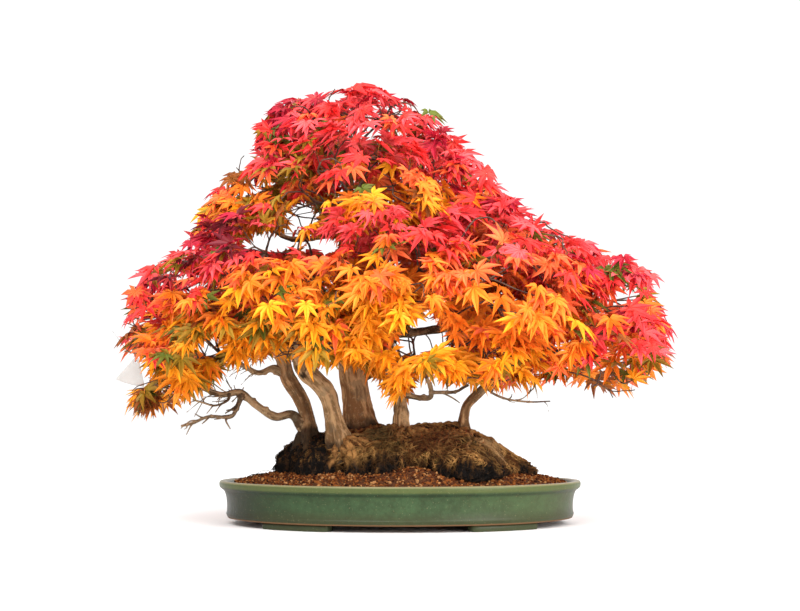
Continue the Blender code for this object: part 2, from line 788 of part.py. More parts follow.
def swollen_tree(item):
    """The object's surface moved out by the clearance that twigs and leaves keep to it."""
    normals = np.array([vertex.normal for vertex in item.data.vertices])
    faces = [tuple(polygon.vertices) for polygon in item.data.polygons]
    return tree_of(coordinates(item.data) + normals * CLEAR, faces)


def outward_normal(face, points, centre):
    """The direction in which a face of a twig's end looks."""
    a, b, c = (np.array(points[i]) for i in face)
    normal = np.cross(b - a, c - a)
    normal /= np.linalg.norm(normal)
    return normal if np.dot(normal, (a + b + c) / 3 - centre) > 0 else -normal


def leaf_direction(normal, outward, attempt, rng):
    """A leaf's axis and upper side: out of its face, out of the mass, and hanging a little."""
    level = np.array((outward[0], outward[1], 0.0))
    axis = normal + LEAF_OUTWARD * level + np.array((0.0, 0.0, -LEAF_HANG))
    axis += rng.normal(size=3) * (0.25 + 0.05 * attempt)
    axis /= np.linalg.norm(axis)
    up = 0.9 * level + np.array((0.0, 0.0, 0.6)) + rng.normal(size=3) * 0.25
    up -= np.dot(up, axis) * axis
    return axis, up / np.linalg.norm(up)


def kept_nodes(name, nodes, parents, limbs):
    """Whether each node stays: its twig and those before it touch no limb and keep to the mass."""
    carrier = MASSES[name][0]
    kept = [True]
    for index, parent in enumerate(parents[1:], 1):
        clear = kept[parent]
        if clear:
            probe = tree_of(*rod_solid(nodes[[parent, index]], (TWIG_PROBE, TWIG_PROBE)))
            # The stem's first stretch starts on its carrier's tip, so that one isn't tested.
            near = [limb for key, limb in limbs.items() if parent > 0 or key != carrier]
            clear = not any(probe.overlap(limb) for limb in near)
        if clear and parent > 1:
            clear = bool(in_mass(name, nodes[[index]])[0])
        kept.append(clear)
    return kept


def sprays_carried(parents, ends):
    """How many sprays hang on each node."""
    load = np.zeros(len(parents), int)
    for index in ends:
        while index >= 0:
            load[index] += 1
            index = parents[index]
    return load


def twig_paths(parents, load):
    """Lists of nodes, one for each rod.

    A rod runs on through the child that carries most, and the others start on its middle."""
    paths, waiting = [], [[0]]
    while waiting:
        path = waiting.pop(0)
        while True:
            heirs = [i for i, parent in enumerate(parents) if parent == path[-1] and load[i]]
            if not heirs:
                break
            heirs.sort(key=lambda index: -load[index])
            waiting.extend([path[-1], heir] for heir in heirs[1:])
            path.append(heirs[0])
        if len(path) > 1:
            paths.append(path)
    return paths


def twig_radii(path, load, stem_radius):
    """Each node's twig is thicker the more sprays it carries, up to the limb's own tip."""
    share = np.maximum(load[path] - 1, 0) / max(1, load[0])
    radii = TWIG_TIP + (stem_radius - TWIG_TIP) * share**TWIG_THICKENING
    if path[0] > 0:
        radii[0] = radii[1]
    return radii


def leafy_rod(name, path, radii, obstacles, blades, rng):
    """A rod's points and faces. Its end has three faces, and a leaf grows out of each that
    has room. The leaves' own trees are added to blades."""
    points = twig_rings(path, radii)
    faces = rod_faces(len(path))
    along = path[-1] - path[-2]
    points.append(path[-1] + along / np.linalg.norm(along) * radii[-1] * HUB_HEIGHT)
    apex = len(points) - 1
    a, b, c = range(apex - 3, apex)
    hub = [(b, a, apex), (c, b, apex), (a, c, apex)]
    outward = path[-1] - np.array(MASSES[name][1]) * MM
    outward /= np.linalg.norm(outward)
    for attempt in range(LEAF_TRIES):
        for face in list(hub):
            normal = outward_normal(face, points, path[-1])
            axis, upper = leaf_direction(normal, outward, attempt, rng)
            if np.dot(axis, normal) < LEAF_LEAST_FACING:
                continue
            corners = [np.array(points[index]) for index in face]
            length = rng.uniform(*LEAF_LENGTH) * LEAF_SHRINK**attempt
            grown, blade_faces = leaf_blade(corners, axis, upper, length)
            blade = np.array([*corners, *grown])
            samples = surface_samples(blade, blade_faces)
            if not in_mass(name, samples, LEAF_REACH, -LEAF_OVER).all():
                continue
            blade[:3] += axis * GAP
            probe = tree_of(blade, blade_faces)
            if any(probe.overlap(tree) for tree in (*obstacles, *blades)):
                continue
            blades.append(probe)
            lookup = (*face, *range(len(points), len(points) + len(grown)))
            points.extend(grown)
            faces.extend(tuple(lookup[index] for index in corner) for corner in blade_faces)
            hub.remove(face)
    return np.array(points), faces + hub


def grow_mass(name, limbs, rng):
    """The solids of one mass: rods that each end in a spray of up to three leaves."""
    tip, direction, radius = tips[MASSES[name][0]]
    nodes, parents, ends = twig_tree(tip + direction * GAP, direction, spray_points(name, rng))
    kept = kept_nodes(name, nodes, parents, limbs)
    load = sprays_carried(parents, [end for end in ends if kept[end]])
    rods = [
        (nodes[path], twig_radii(path, load, radius * STEM_SHARE))
        for path in twig_paths(parents, load)
    ]
    trees = [tree_of(*rod_solid(path, radii + GAP)) for path, radii in rods]
    blades = []
    return [
        leafy_rod(name, *rod, (*limbs.values(), *trees[:index], *trees[index + 1:]), blades, rng)
        for index, rod in enumerate(rods)
    ]


def keep_largest_shell(mesh):
    """Drops loose scraps and sealed hollows. Says whether what is left is closed."""
    shape = bmesh.new()
    shape.from_mesh(mesh)
    bmesh.ops.remove_doubles(shape, verts=shape.verts, dist=MERGE)
    bmesh.ops.triangulate(shape, faces=shape.faces)
    seen = set()
    shells = []
    for face in shape.faces:
        if face in seen:
            continue
        shell = [face]
        seen.add(face)
        for member in shell:
            for other in (face for edge in member.edges for face in edge.link_faces):
                if other not in seen:
                    seen.add(other)
                    shell.append(other)
        shells.append(shell)
    shells.sort(key=len)
    for shell in shells[:-1]:
        bmesh.ops.delete(shape, geom=shell, context="FACES")
    closed = all(len(edge.link_faces) == 2 for edge in shape.edges)
    shape.to_mesh(mesh)
    shape.free()
    return closed


def joined(name, solids, collection):
    """One object from many solids, by one Boolean union on their collection."""
    pieces = new_collection(name + "_pieces")
    objects = []
    for index, (points, faces) in enumerate(solids):
        mesh = mesh_of(name, points, faces)
        weld(mesh)
        objects.append(new_object(f"{name}_piece_{index}", mesh, pieces if index else collection))
    item = objects[0]
    item.name = name
    union = item.modifiers.new("union", "BOOLEAN")
    union.operation = "UNION"
    union.operand_type = "COLLECTION"
    union.collection = pieces
    union.solver = "MANIFOLD"
    item.data = evaluated_mesh(item)
    item.modifiers.clear()
    for piece in objects[1:]:
        bpy.data.objects.remove(piece, do_unlink=True)
    bpy.data.collections.remove(pieces)
    return item


def make_mass(name, solids, material, collection, rng):
    """The mass's node. Where the union leaves a flaw its rods are moved a hair and rejoined."""
    item = joined(name, solids, collection)
    for _ in range(UNION_TRIES):
        if keep_largest_shell(item.data):
            break
        bpy.data.objects.remove(item, do_unlink=True)
        solids = [(points + rng.normal(size=3) * UNION_NUDGE, faces) for points, faces in solids]
        item = joined(name, solids, collection)
    item.data.materials.clear()
    item.data.materials.append(material)
    return item


tips = {}


def main():
    clear_scene()
    bonsai = new_collection("japanese_maple_bonsai")
    cutters = new_collection("cutters")
    glaze = new_material("green_glaze", (0.075, 0.185, 0.095), 0.22)
    clay = new_material("unglazed_clay", (0.20, 0.13, 0.08), 0.8)
    earth = new_material("soil_granules", (0.24, 0.09, 0.04), 0.95)
    root = new_material("root_bark", (0.10, 0.065, 0.04), 0.92)
    bark = new_material("bark", (0.23, 0.165, 0.115), 0.85)
    paper = new_material("paper", (0.9, 0.9, 0.88), 0.6)
    red = new_material("red_leaf", (0.78, 0.05, 0.055), 0.5)
    gold = new_material("gold_leaf", (0.85, 0.30, 0.02), 0.5)

    make_pot(bonsai, glaze)
    for end, mirror_x in (("left", -1), ("right", 1)):
        for face, mirror_y in (("front", -1), ("back", 1)):
            make_foot(f"foot_{face}_{end}", mirror_x, mirror_y, bonsai, clay)
    soil = make_soil(bonsai, earth)
    mound = make_mound(bonsai, root)

    limbs, grown = {}, {}
    for name, (points, radii) in TRUNKS.items():
        limbs[name] = make_limb(name, points, radii, bark, bonsai, resolution=3)
        grown[name] = grown_copy(limbs[name], CUT_GAP, cutters)
    for name, (carrier, points, radii) in {**BOUGHS, **BARE}.items():
        resolution = 0 if max(radii) < THIN_LIMB else 1
        limbs[name] = make_limb(name, points, radii, bark, bonsai, resolution)
        cut(limbs[name], [grown[carrier]])
        grown[name] = grown_copy(limbs[name], CUT_GAP, cutters)
    cut(soil, [grown_copy(mound, MOUND_GAP, cutters)])
    cut(mound, [grown[name] for name in (*TRUNKS, "bough_low_left")])

    hung = {"tag": make_tag(bonsai, paper), "tag_thread": make_thread(bonsai, paper)}
    obstacles = {name: swollen_tree(item) for name, item in {**limbs, **hung}.items()}
    for index, name in enumerate(MASSES):
        rng = np.random.default_rng(SEED + index)
        solids = grow_mass(name, obstacles, rng)
        leaf = gold if "low" in name or name == "foliage_front_right" else red
        make_mass(name, solids, leaf, bonsai, rng)
        for number, solid in enumerate(solids):
            obstacles[f"{name}_{number}"] = tree_of(*solid)
    centre_over(bonsai.objects)


main()
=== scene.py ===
import math

import bpy
import numpy as np
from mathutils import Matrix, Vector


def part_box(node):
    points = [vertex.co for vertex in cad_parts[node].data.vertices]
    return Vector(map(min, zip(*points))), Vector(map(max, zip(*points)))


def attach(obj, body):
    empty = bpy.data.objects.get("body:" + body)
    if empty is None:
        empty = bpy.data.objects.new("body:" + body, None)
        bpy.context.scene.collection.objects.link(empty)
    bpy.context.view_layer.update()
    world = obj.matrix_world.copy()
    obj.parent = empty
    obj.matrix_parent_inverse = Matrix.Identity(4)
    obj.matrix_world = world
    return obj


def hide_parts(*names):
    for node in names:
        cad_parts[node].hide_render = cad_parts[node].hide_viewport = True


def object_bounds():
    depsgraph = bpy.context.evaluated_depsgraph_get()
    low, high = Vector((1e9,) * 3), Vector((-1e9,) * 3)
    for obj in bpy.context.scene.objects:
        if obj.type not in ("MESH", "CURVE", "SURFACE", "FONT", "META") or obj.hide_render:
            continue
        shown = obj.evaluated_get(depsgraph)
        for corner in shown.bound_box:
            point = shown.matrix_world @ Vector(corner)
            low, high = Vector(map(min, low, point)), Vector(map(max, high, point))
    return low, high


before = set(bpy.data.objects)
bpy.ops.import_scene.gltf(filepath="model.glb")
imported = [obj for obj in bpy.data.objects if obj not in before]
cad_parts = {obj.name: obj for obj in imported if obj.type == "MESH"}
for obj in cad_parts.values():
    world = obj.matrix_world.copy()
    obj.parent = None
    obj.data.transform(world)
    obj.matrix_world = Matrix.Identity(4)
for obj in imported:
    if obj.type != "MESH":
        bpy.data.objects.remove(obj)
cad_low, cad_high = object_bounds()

# A japanese maple bonsai in autumn leaf, dressed over its solid model. Metres, +Z up, front
# towards -Y. The sections follow the plant from the ground up.

# ---------------------------------------------------------------- camera, floor and light
# The camera looks a little up from just over the pot's rim, as someone kneeling at a bench
# would. The floor is one pale sheet, and large soft lamps stand round the plant.

MM = 0.001
pot_low, pot_high = (np.array(corner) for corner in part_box("pot"))
SHIFT = np.array((*((pot_low + pot_high) / 2)[:2], 0.0))
EYE_DISTANCE = 2.0
EYE_HEIGHT = 0.160
AIM_HEIGHT = 0.3021
LENS = 64.29
LAMP_AIM_HEIGHT = 0.3
FLOOR_SIDE = 60.0
FLOOR_COLOUR = (0.93, 0.93, 0.93, 1.0)
SKY_STRENGTH = 1.09
# Each lamp's name, place, width across and power in watts.
LAMPS = (
    ("key_lamp", (-0.7, -1.9, 1.8), 1.6, 50.0),
    ("fill_lamp", (1.6, -1.8, 0.9), 1.8, 54.0),
    ("back_lamp", (0.4, 2.2, 1.8), 1.8, 20.0),
)

camera = bpy.data.objects.new("camera", bpy.data.cameras.new("camera"))
camera.data.lens = LENS
camera.location = SHIFT + (0.0, -EYE_DISTANCE, EYE_HEIGHT)
camera.rotation_euler = (
    math.pi / 2 + math.atan2(AIM_HEIGHT - EYE_HEIGHT, EYE_DISTANCE), 0.0, 0.0
)
bpy.context.scene.collection.objects.link(camera)
bpy.context.scene.camera = camera
bpy.context.scene.view_settings.view_transform = "Standard"

for lamp_name, place, size, power in LAMPS:
    lamp = bpy.data.objects.new(lamp_name, bpy.data.lights.new(lamp_name, "AREA"))
    lamp.data.shape = "DISK"
    lamp.data.size = size
    lamp.data.energy = power
    lamp.location = place
    direction = np.array((0.0, 0.0, LAMP_AIM_HEIGHT)) - place
    lamp.rotation_euler = (
        math.atan2(np.hypot(*direction[:2]), -direction[2]), 0.0,
        math.atan2(direction[1], direction[0]) - math.pi / 2,
    )
    bpy.context.scene.collection.objects.link(lamp)

sky = bpy.data.worlds.new("studio")
sky.use_nodes = True
sky.node_tree.nodes["Background"].inputs["Color"].default_value = (1.0, 1.0, 1.0, 1.0)
sky.node_tree.nodes["Background"].inputs["Strength"].default_value = SKY_STRENGTH
bpy.context.scene.world = sky


class Wire:
    """One socket of a material. Arithmetic on it adds Math nodes, and node() adds any other."""

    def __init__(self, tree, socket):
        self.tree = tree
        self.socket = socket

    def node(self, kind, settings, inputs, output=0):
        """Adds a node: its settings first, then the values or links of its sockets."""
        made = self.tree.nodes.new(kind)
        for name, value in settings.items():
            if name != "stops":
                setattr(made, name, value)
                continue
            stops = made.color_ramp.elements
            for index, (place, colour) in enumerate(value):
                stop = stops[index] if index < 2 else stops.new(place)
                stop.position = place
                stop.color = (*colour, 1.0)
        for name, value in inputs.items():
            if isinstance(value, Wire):
                self.tree.links.new(value.socket, made.inputs[name])
            else:
                made.inputs[name].default_value = value
        return Wire(self.tree, made.outputs[output])

    def maths(self, operation, *values):
        """A Math node of that operation on the values."""
        return self.node("ShaderNodeMath", {"operation": operation}, dict(enumerate(values)))

    def __add__(self, other):
        return self.maths("ADD", self, other)

    def __sub__(self, other):
        return self.maths("SUBTRACT", self, other)

    def __rsub__(self, other):
        return self.maths("SUBTRACT", other, self)

    def __mul__(self, other):
        return self.maths("MULTIPLY", self, other)

    __radd__ = __add__
    __rmul__ = __mul__

    def rise(self, low, high):
        """0 below low and 1 above high, eased between them; falls where low is above high."""
        ease = {"interpolation_type": "SMOOTHSTEP"}
        return self.node(
            "ShaderNodeMapRange", ease, {"Value": self, "From Min": low, "From Max": high}
        )

    def grain(self, scale, detail=4.0, roughness=0.55, stretch=(1.0, 1.0, 1.0)):
        """Noise of about 0 to 1 at these coordinates, drawn out along the axes by stretch."""
        spread = self.node("ShaderNodeMapping", {}, {"Vector": self, "Scale": stretch})
        return spread.node(
            "ShaderNodeTexNoise", {},
            {"Vector": spread, "Scale": scale, "Detail": detail, "Roughness": roughness},
        )

    def part(self, axis):
        """One coordinate: 0, 1 or 2."""
        return self.node("ShaderNodeSeparateXYZ", {}, {0: self}, axis)

    def away_from(self, point):
        """The distance of these coordinates from one point."""
        return self.node(
            "ShaderNodeVectorMath", {"operation": "DISTANCE"}, {0: self, 1: point}, 1
        )

    def between(self, first, second):
        """A colour from first to second, by this value."""
        first, second = (
            colour if isinstance(colour, Wire) else (*colour, 1.0) for colour in (first, second)
        )
        return self.node(
            "ShaderNodeMix", {"data_type": "RGBA"}, {0: self, 6: first, 7: second}, 2
        )


def new_material(name, **settings):
    """A material, its Principled shader, and the Object coordinates as a Wire."""
    material = bpy.data.materials.new(name)
    material.use_nodes = True
    shader = material.node_tree.nodes["Principled BSDF"]
    for setting, value in settings.items():
        shader.inputs[setting.replace("_", " ")].default_value = value
    coordinates = material.node_tree.nodes.new("ShaderNodeTexCoord").outputs["Object"]
    return material, shader, Wire(material.node_tree, coordinates)


def feed(shader, **wires):
    """Links wires to the shader's sockets. One named bump becomes the surface's relief."""
    for name, wire in wires.items():
        if name == "bump":
            height, depth = wire
            wire = height.node(
                "ShaderNodeBump", {}, {"Height": height, "Distance": depth, "Strength": 1.0}
            )
            name = "Normal"
        wire.tree.links.new(wire.socket, shader.inputs[name.replace("_", " ")])


def new_piece(name, points, faces, materials, smooth=True, tints=None):
    """An object from an array of points and arrays of three- or four-cornered faces."""
    mesh = bpy.data.meshes.new(name)
    faces = faces if isinstance(faces, list) else [faces]
    corners = np.concatenate([some.ravel() for some in faces]).astype(np.int32)
    sizes = np.concatenate([np.full(len(some), some.shape[1]) for some in faces])
    mesh.vertices.add(len(points))
    mesh.vertices.foreach_set("co", np.asarray(points, np.float32).ravel())
    mesh.loops.add(len(corners))
    mesh.loops.foreach_set("vertex_index", corners)
    mesh.polygons.add(len(sizes))
    mesh.polygons.foreach_set("loop_start", (np.cumsum(sizes) - sizes).astype(np.int32))
    for material in materials:
        mesh.materials.append(material)
    if tints is not None:
        mesh.polygons.foreach_set("material_index", tints.astype(np.int32))
    mesh.polygons.foreach_set("use_smooth", np.full(len(sizes), smooth))
    mesh.update(calc_edges=True)
    piece = bpy.data.objects.new(name, mesh)
    bpy.context.scene.collection.objects.link(piece)
    return piece


floor_paint, floor_shader, _ = new_material("pale_floor", Roughness=0.9)
floor_shader.inputs["Base Color"].default_value = FLOOR_COLOUR
floor_corners = FLOOR_SIDE * np.array(((-1, -1, 0), (1, -1, 0), (1, 1, 0), (-1, 1, 0.0)))
floor = new_piece("floor", floor_corners, np.array([[0, 1, 2, 3]]), [floor_paint], False)

# ---------------------------------------------------------------- the pot and its feet
# A shallow oval of stoneware, pressed in a mould. Its green glaze runs thin and pale on the lip,
# brown at the right end and low on the wall, and stops short of the unglazed base. Painted shade
# darkens its left end and a band under the lip, and painted light brightens its right side and the
# lip's edge.

POT_SECTIONS = 192
POT_LIP_Z = pot_high[2]
POT_BASE_Z = pot_low[2]
POT_FLOOR_Z = 0.0155
POT_HALF = (pot_high[0] - pot_low[0]) / 2
POT_OVAL = (pot_high[1] - pot_low[1]) / (pot_high[0] - pot_low[0])
BASE_INSET = 0.0118
# Distance in from the pot's half length, and height, from the base up and over into the bowl.
POT_LINE = (
    (0.0200, POT_BASE_Z), (0.0130, POT_BASE_Z), (BASE_INSET, POT_BASE_Z + 0.0010),
    (0.0103, POT_BASE_Z + 0.0042), (0.0100, POT_BASE_Z + 0.0062),
    (0.0107, POT_BASE_Z + 0.0080), (0.0111, 0.0240), (0.0108, 0.0290), (0.0098, 0.0370),
    (0.0082, 0.0425), (0.0060, 0.0462), (0.0030, POT_LIP_Z - 0.0106),
    (0.0008, POT_LIP_Z - 0.0084), (0.0001, POT_LIP_Z - 0.0055), (0.0001, POT_LIP_Z - 0.0030),
    (0.0010, POT_LIP_Z - 0.0008), (0.0030, POT_LIP_Z), (0.0070, POT_LIP_Z),
    (0.0102, POT_LIP_Z - 0.0010), (0.0140, POT_LIP_Z - 0.0050), (0.0205, 0.0440),
    (0.0245, 0.0220), (0.0320, POT_FLOOR_Z), (0.0600, POT_FLOOR_Z),
)
GLAZE = (0.028, 0.047, 0.019)
GLAZE_LIGHT = (0.044, 0.082, 0.033)
GLAZE_LIP = (0.078, 0.094, 0.027)
GLAZE_DARK = (0.012, 0.026, 0.010)
GLAZE_THIN = (0.037, 0.033, 0.014)
GLAZE_LIT_RIGHT = (0.095, 0.115, 0.046)
GLAZE_SHADED_END = (0.010, 0.010, 0.0035)
GLAZE_CREAM = (0.240, 0.215, 0.110)
BARE_CLAY = (0.150, 0.075, 0.034)
FOOT_FROM, FOOT_TO = np.radians((38.5, 66.5))
FOOT_INSET = 0.004
FOOT_DEPTH = 0.020
FOOT_SIDES = 96
FOOT_SQUARENESS = 0.32


def curve_through(points, count):
    """Catmull-Rom: count places on each span, whose four nearest points p0 to p3 are mixed by
    p1 + t/2 (p2 - p0) + t^2/2 (2 p0 - 5 p1 + 4 p2 - p3) + t^3/2 (3 p1 - p0 - 3 p2 + p3)."""
    points = np.asarray(points, float)
    ends = np.vstack([2 * points[0] - points[1], points, 2 * points[-1] - points[-2]])
    p0, p1, p2, p3 = (ends[k:len(ends) - 3 + k, None] for k in range(4))
    t = (np.arange(count) / count)[None, :, None]
    spans = p1 + 0.5 * (
        (p2 - p0) * t + (2 * p0 - 5 * p1 + 4 * p2 - p3) * t**2
        + (3 * p1 - p0 - 3 * p2 + p3) * t**3
    )
    return np.vstack([spans.reshape(-1, points.shape[1]), points[-1]])


def grid_faces(rows, columns):
    """The quads of a grid of points, row after row, closed round its columns, with a fan on
    the point before the first row and one on the point after the last."""
    row, column = np.meshgrid(np.arange(rows - 1), np.arange(columns), indexing="ij")
    here = 1 + row * columns + column
    beside = 1 + row * columns + (column + 1) % columns
    quads = np.stack([here, beside, beside + columns, here + columns], axis=-1).reshape(-1, 4)
    ring = np.arange(columns)
    first = np.stack([np.zeros(columns, int), 1 + (ring + 1) % columns, 1 + ring], axis=1)
    last_row = 1 + (rows - 1) * columns
    last = np.stack(
        [np.full(columns, last_row + columns), last_row + ring, last_row + (ring + 1) % columns],
        axis=1,
    )
    return [quads, np.vstack([first, last])]


def with_poles(rows):
    """The grid's points in one list, between the middles of its first and last rows."""
    return np.vstack([rows[0].mean(axis=0), rows.reshape(-1, 3), rows[-1].mean(axis=0)])


def oval_rows(line, sections):
    """A line of (radius, height) carried round the pot's oval: x = r cos a, y = r w sin a,
    where w is the pot's width over its length."""
    angle = np.arange(sections) / sections * math.tau
    radius, height = np.asarray(line).T[:, :, None]
    return np.stack([
        radius * np.cos(angle), radius * POT_OVAL * np.sin(angle), height + 0 * angle
    ], axis=-1) + SHIFT


glaze, glaze_shader, place = new_material(
    "green_glaze", Coat_Weight=0.03, Coat_Roughness=0.12, Specular_IOR_Level=0.16
)
height = place.part(2)
side = place.part(0) - float(SHIFT[0])
across = side.maths("ABSOLUTE")
cloud = place.grain(26.0, 7.0, 0.66)
fine = place.grain(160.0, 5.0, 0.65)
run = place.grain(46.0, 3.0, 0.5, (1.0, 1.0, 0.25))
colour = (0.6 * cloud + 0.4 * fine).rise(0.38, 0.64).between(GLAZE, GLAZE_LIGHT)
colour = (run.rise(0.52, 0.78) * 0.55).between(colour, GLAZE_DARK)
# Painted shade darkens the glaze towards the pot's left, and painted light brightens it towards the
# right.
colour = (side.rise(0.02, -0.16) * 0.36).between(colour, GLAZE_DARK)
colour = (side.rise(0.03, 0.22) * 0.32).between(colour, GLAZE_LIT_RIGHT)
low_wall = height.rise(0.030, 0.014) * (0.35 + 0.5 * cloud)
colour = low_wall.between(colour, GLAZE_THIN)
right_end = side.rise(0.180, 0.250) * (0.20 + 0.60 * run.rise(0.35, 0.62))
colour = right_end.between(colour, GLAZE_THIN)
# Painted shade: the pot's left end is darkened further, nearly to black.
left_end = side.rise(-0.150, -0.225) * (0.65 + 0.30 * cloud)
colour = left_end.between(colour, GLAZE_SHADED_END)
# Painted shade: a dark band under the lip's roll, where the lip overhangs the wall.
under = height.rise(POT_LIP_Z - 0.0150, POT_LIP_Z - 0.0125)
under = under * height.rise(POT_LIP_Z - 0.0092, POT_LIP_Z - 0.0112)
colour = (under * 0.45).between(colour, GLAZE_DARK)
band = height.rise(POT_LIP_Z - 0.0100, POT_LIP_Z - 0.0070)
colour = (band * (0.55 + 0.40 * fine)).between(colour, GLAZE_LIP)
# Painted highlight: the lip's top edge is turned cream, faintly all round and strongly towards the
# two ends.
lip = height.rise(POT_LIP_Z - 0.0030, POT_LIP_Z - 0.0002)
colour = (lip * (0.10 + 0.80 * across.rise(0.17, 0.248))).between(colour, GLAZE_CREAM)
speck = place.grain(520.0, 2.0, 0.5).rise(0.66, 0.74)
colour = (speck * 0.45).between(colour, GLAZE_CREAM)
clay_edge = height.rise(POT_BASE_Z + 0.0024, POT_BASE_Z + 0.0008)
clay_edge = clay_edge * height.rise(POT_BASE_Z - 0.0012, POT_BASE_Z - 0.0004)
colour = clay_edge.between(colour, BARE_CLAY)
feed(
    glaze_shader, Base_Color=colour, Roughness=0.24 + 0.24 * fine + 0.45 * clay_edge,
    bump=(0.7 * cloud + 0.3 * fine, 0.0009),
)

pot_line = curve_through([(POT_HALF - inset, z) for inset, z in POT_LINE], 4)
pot_rows = oval_rows(pot_line, POT_SECTIONS)
pot_faces = grid_faces(len(pot_line), POT_SECTIONS)
pot = new_piece("pot_glazed", with_poles(pot_rows), pot_faces, [glaze])
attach(pot, "root")
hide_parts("pot")

for foot_name, side_x, side_y in (
    ("foot_front_left", -1, -1), ("foot_front_right", 1, -1),
    ("foot_back_left", -1, 1), ("foot_back_right", 1, 1),
):
    # A foot is a block with rounded corners, bent along the pot's oval and shrinking downwards.
    corner = np.linspace(0.0, math.tau, FOOT_SIDES, endpoint=False)
    circle = np.stack([np.cos(corner), np.sin(corner)])
    along, over = np.abs(circle) ** FOOT_SQUARENESS * np.sign(circle) / 2
    # Its rings from the bench up: each one's height, and its share of the foot's full size.
    top = POT_BASE_Z + 0.0004
    steps = np.array(((0.0, 0.94), (0.0, 0.985), (0.0006, 1.0), (0.0040, 1.005), (top, 1.02)))
    size = steps[:, 1, None]
    turn = (FOOT_FROM + FOOT_TO) / 2 + along * size * (FOOT_TO - FOOT_FROM)
    inset = FOOT_INSET + (over * size + 0.5) * FOOT_DEPTH
    rows = np.stack([
        side_x * (POT_HALF - BASE_INSET - inset) * np.cos(turn),
        side_y * ((POT_HALF - BASE_INSET) * POT_OVAL - inset) * np.sin(turn),
        steps[:, 0, None] + 0 * turn,
    ], axis=-1) + SHIFT
    faces = grid_faces(len(steps), len(corner))
    if side_x * side_y > 0:
        faces = [some[:, ::-1] for some in faces]
    foot = new_piece(foot_name + "_glazed", with_poles(rows), faces, [glaze])
    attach(foot, "root")
    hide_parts(foot_name)

# ---------------------------------------------------------------- the soil
# Fired-clay granules, red-brown with paler and darker ones among them, heaped up to the
# roots. A rough bed fills the pot, and thousands of single granules lie on it.

SOIL_EDGE_Z = 0.0545
SOIL_HEAP = 0.026
SOIL_SIDE = POT_HALF - 0.0178
SOIL_SECTIONS = 160
SOIL_RINGS = 60
SOIL_SEED = 41
SOIL_DARK = (0.036, 0.012, 0.006)
SOIL_LIGHT = (0.165, 0.060, 0.020)
GRANULE_COUNT = 8200
GRANULE_RADIUS = (0.0010, 0.0023)
BIG_GRANULE_SHARE = 0.12
GRANULE_TINTS = (
    (0.254, 0.082, 0.021), (0.107, 0.030, 0.010), (0.459, 0.221, 0.082), (0.033, 0.010, 0.005),
)
GRANULE_SHARES = (0.42, 0.28, 0.15, 0.15)
# A little heap of gravel against the mound's front.
HEAP_PLACE = (0.022, -0.122)
HEAP_SIZE = (0.030, 0.0110)


def lattice_noise(points, pitch, seed):
    """Noise from -1 to 1: a random number on each corner of a cubic lattice of that pitch,
    eased between the corners by 3 t^2 - 2 t^3."""
    cell = np.asarray(points) / pitch
    low = np.floor(cell)
    t = cell - low
    t = t * t * (3 - 2 * t)
    total = 0.0
    for corner in np.ndindex(2, 2, 2):
        key = (low + corner) @ np.array((127.1, 311.7, 74.7)) + seed * 17.3
        value = np.modf(np.sin(key) * 43758.5453)[0]
        total = total + value * np.prod(np.where(corner, t, 1 - t), axis=-1)
    return total


def rough(points, pitch, seed, octaves=4):
    """Lattice noise summed over octaves, each of half the pitch and half the height."""
    return sum(
        lattice_noise(points, pitch / 2**k, seed + k) / 2**k for k in range(octaves)
    ) / 1.6


def soil_top(ring):
    """The bed's height at a share of the way from its middle to its edge."""
    return SOIL_EDGE_Z + SOIL_HEAP * np.maximum(1 - ring**2, 0.0) ** 0.8


def gravel_heap(points):
    """The little heap's height: h exp(-(r / w)^2), with r the distance from its middle."""
    away = np.hypot(points[..., 0] - HEAP_PLACE[0], points[..., 1] - HEAP_PLACE[1])
    return HEAP_SIZE[1] * np.exp(-((away / HEAP_SIZE[0]) ** 2))


def soil_lumps(points):
    """The bed's broad lumps, 3 cm across: how far each point stands above the heap."""
    return 0.0020 * rough(points, 0.030, 3)


rng = np.random.default_rng(SOIL_SEED)
soil_paint, soil_shader, place = new_material("soil_bed", Roughness=0.95, Specular_IOR_Level=0.15)
crumb = place.grain(240.0, 5.0, 0.7)
colour = place.grain(420.0, 3.0, 0.6).rise(0.35, 0.7).between(SOIL_DARK, SOIL_LIGHT)
feed(soil_shader, Base_Color=colour, bump=(crumb, 0.004))
rings = np.linspace(1.0, 0.02, SOIL_RINGS)
edge_line = [(SOIL_SIDE * 0.86, POT_FLOOR_Z + 0.006), (SOIL_SIDE * 0.965, 0.030)]
bed_line = [*edge_line, *zip(SOIL_SIDE * rings, soil_top(rings))]
bed = oval_rows(bed_line, SOIL_SECTIONS)
bed[2:, :, 2] += soil_lumps(bed[2:]) + 0.0009 * rough(bed[2:], 0.006, 5, 2)
bed[2:, :, 2] += gravel_heap(bed[2:])
bed_faces = grid_faces(len(bed_line), SOIL_SECTIONS)
soil = new_piece("soil_bed", with_poles(bed), bed_faces, [soil_paint])
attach(soil, "root")
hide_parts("soil")

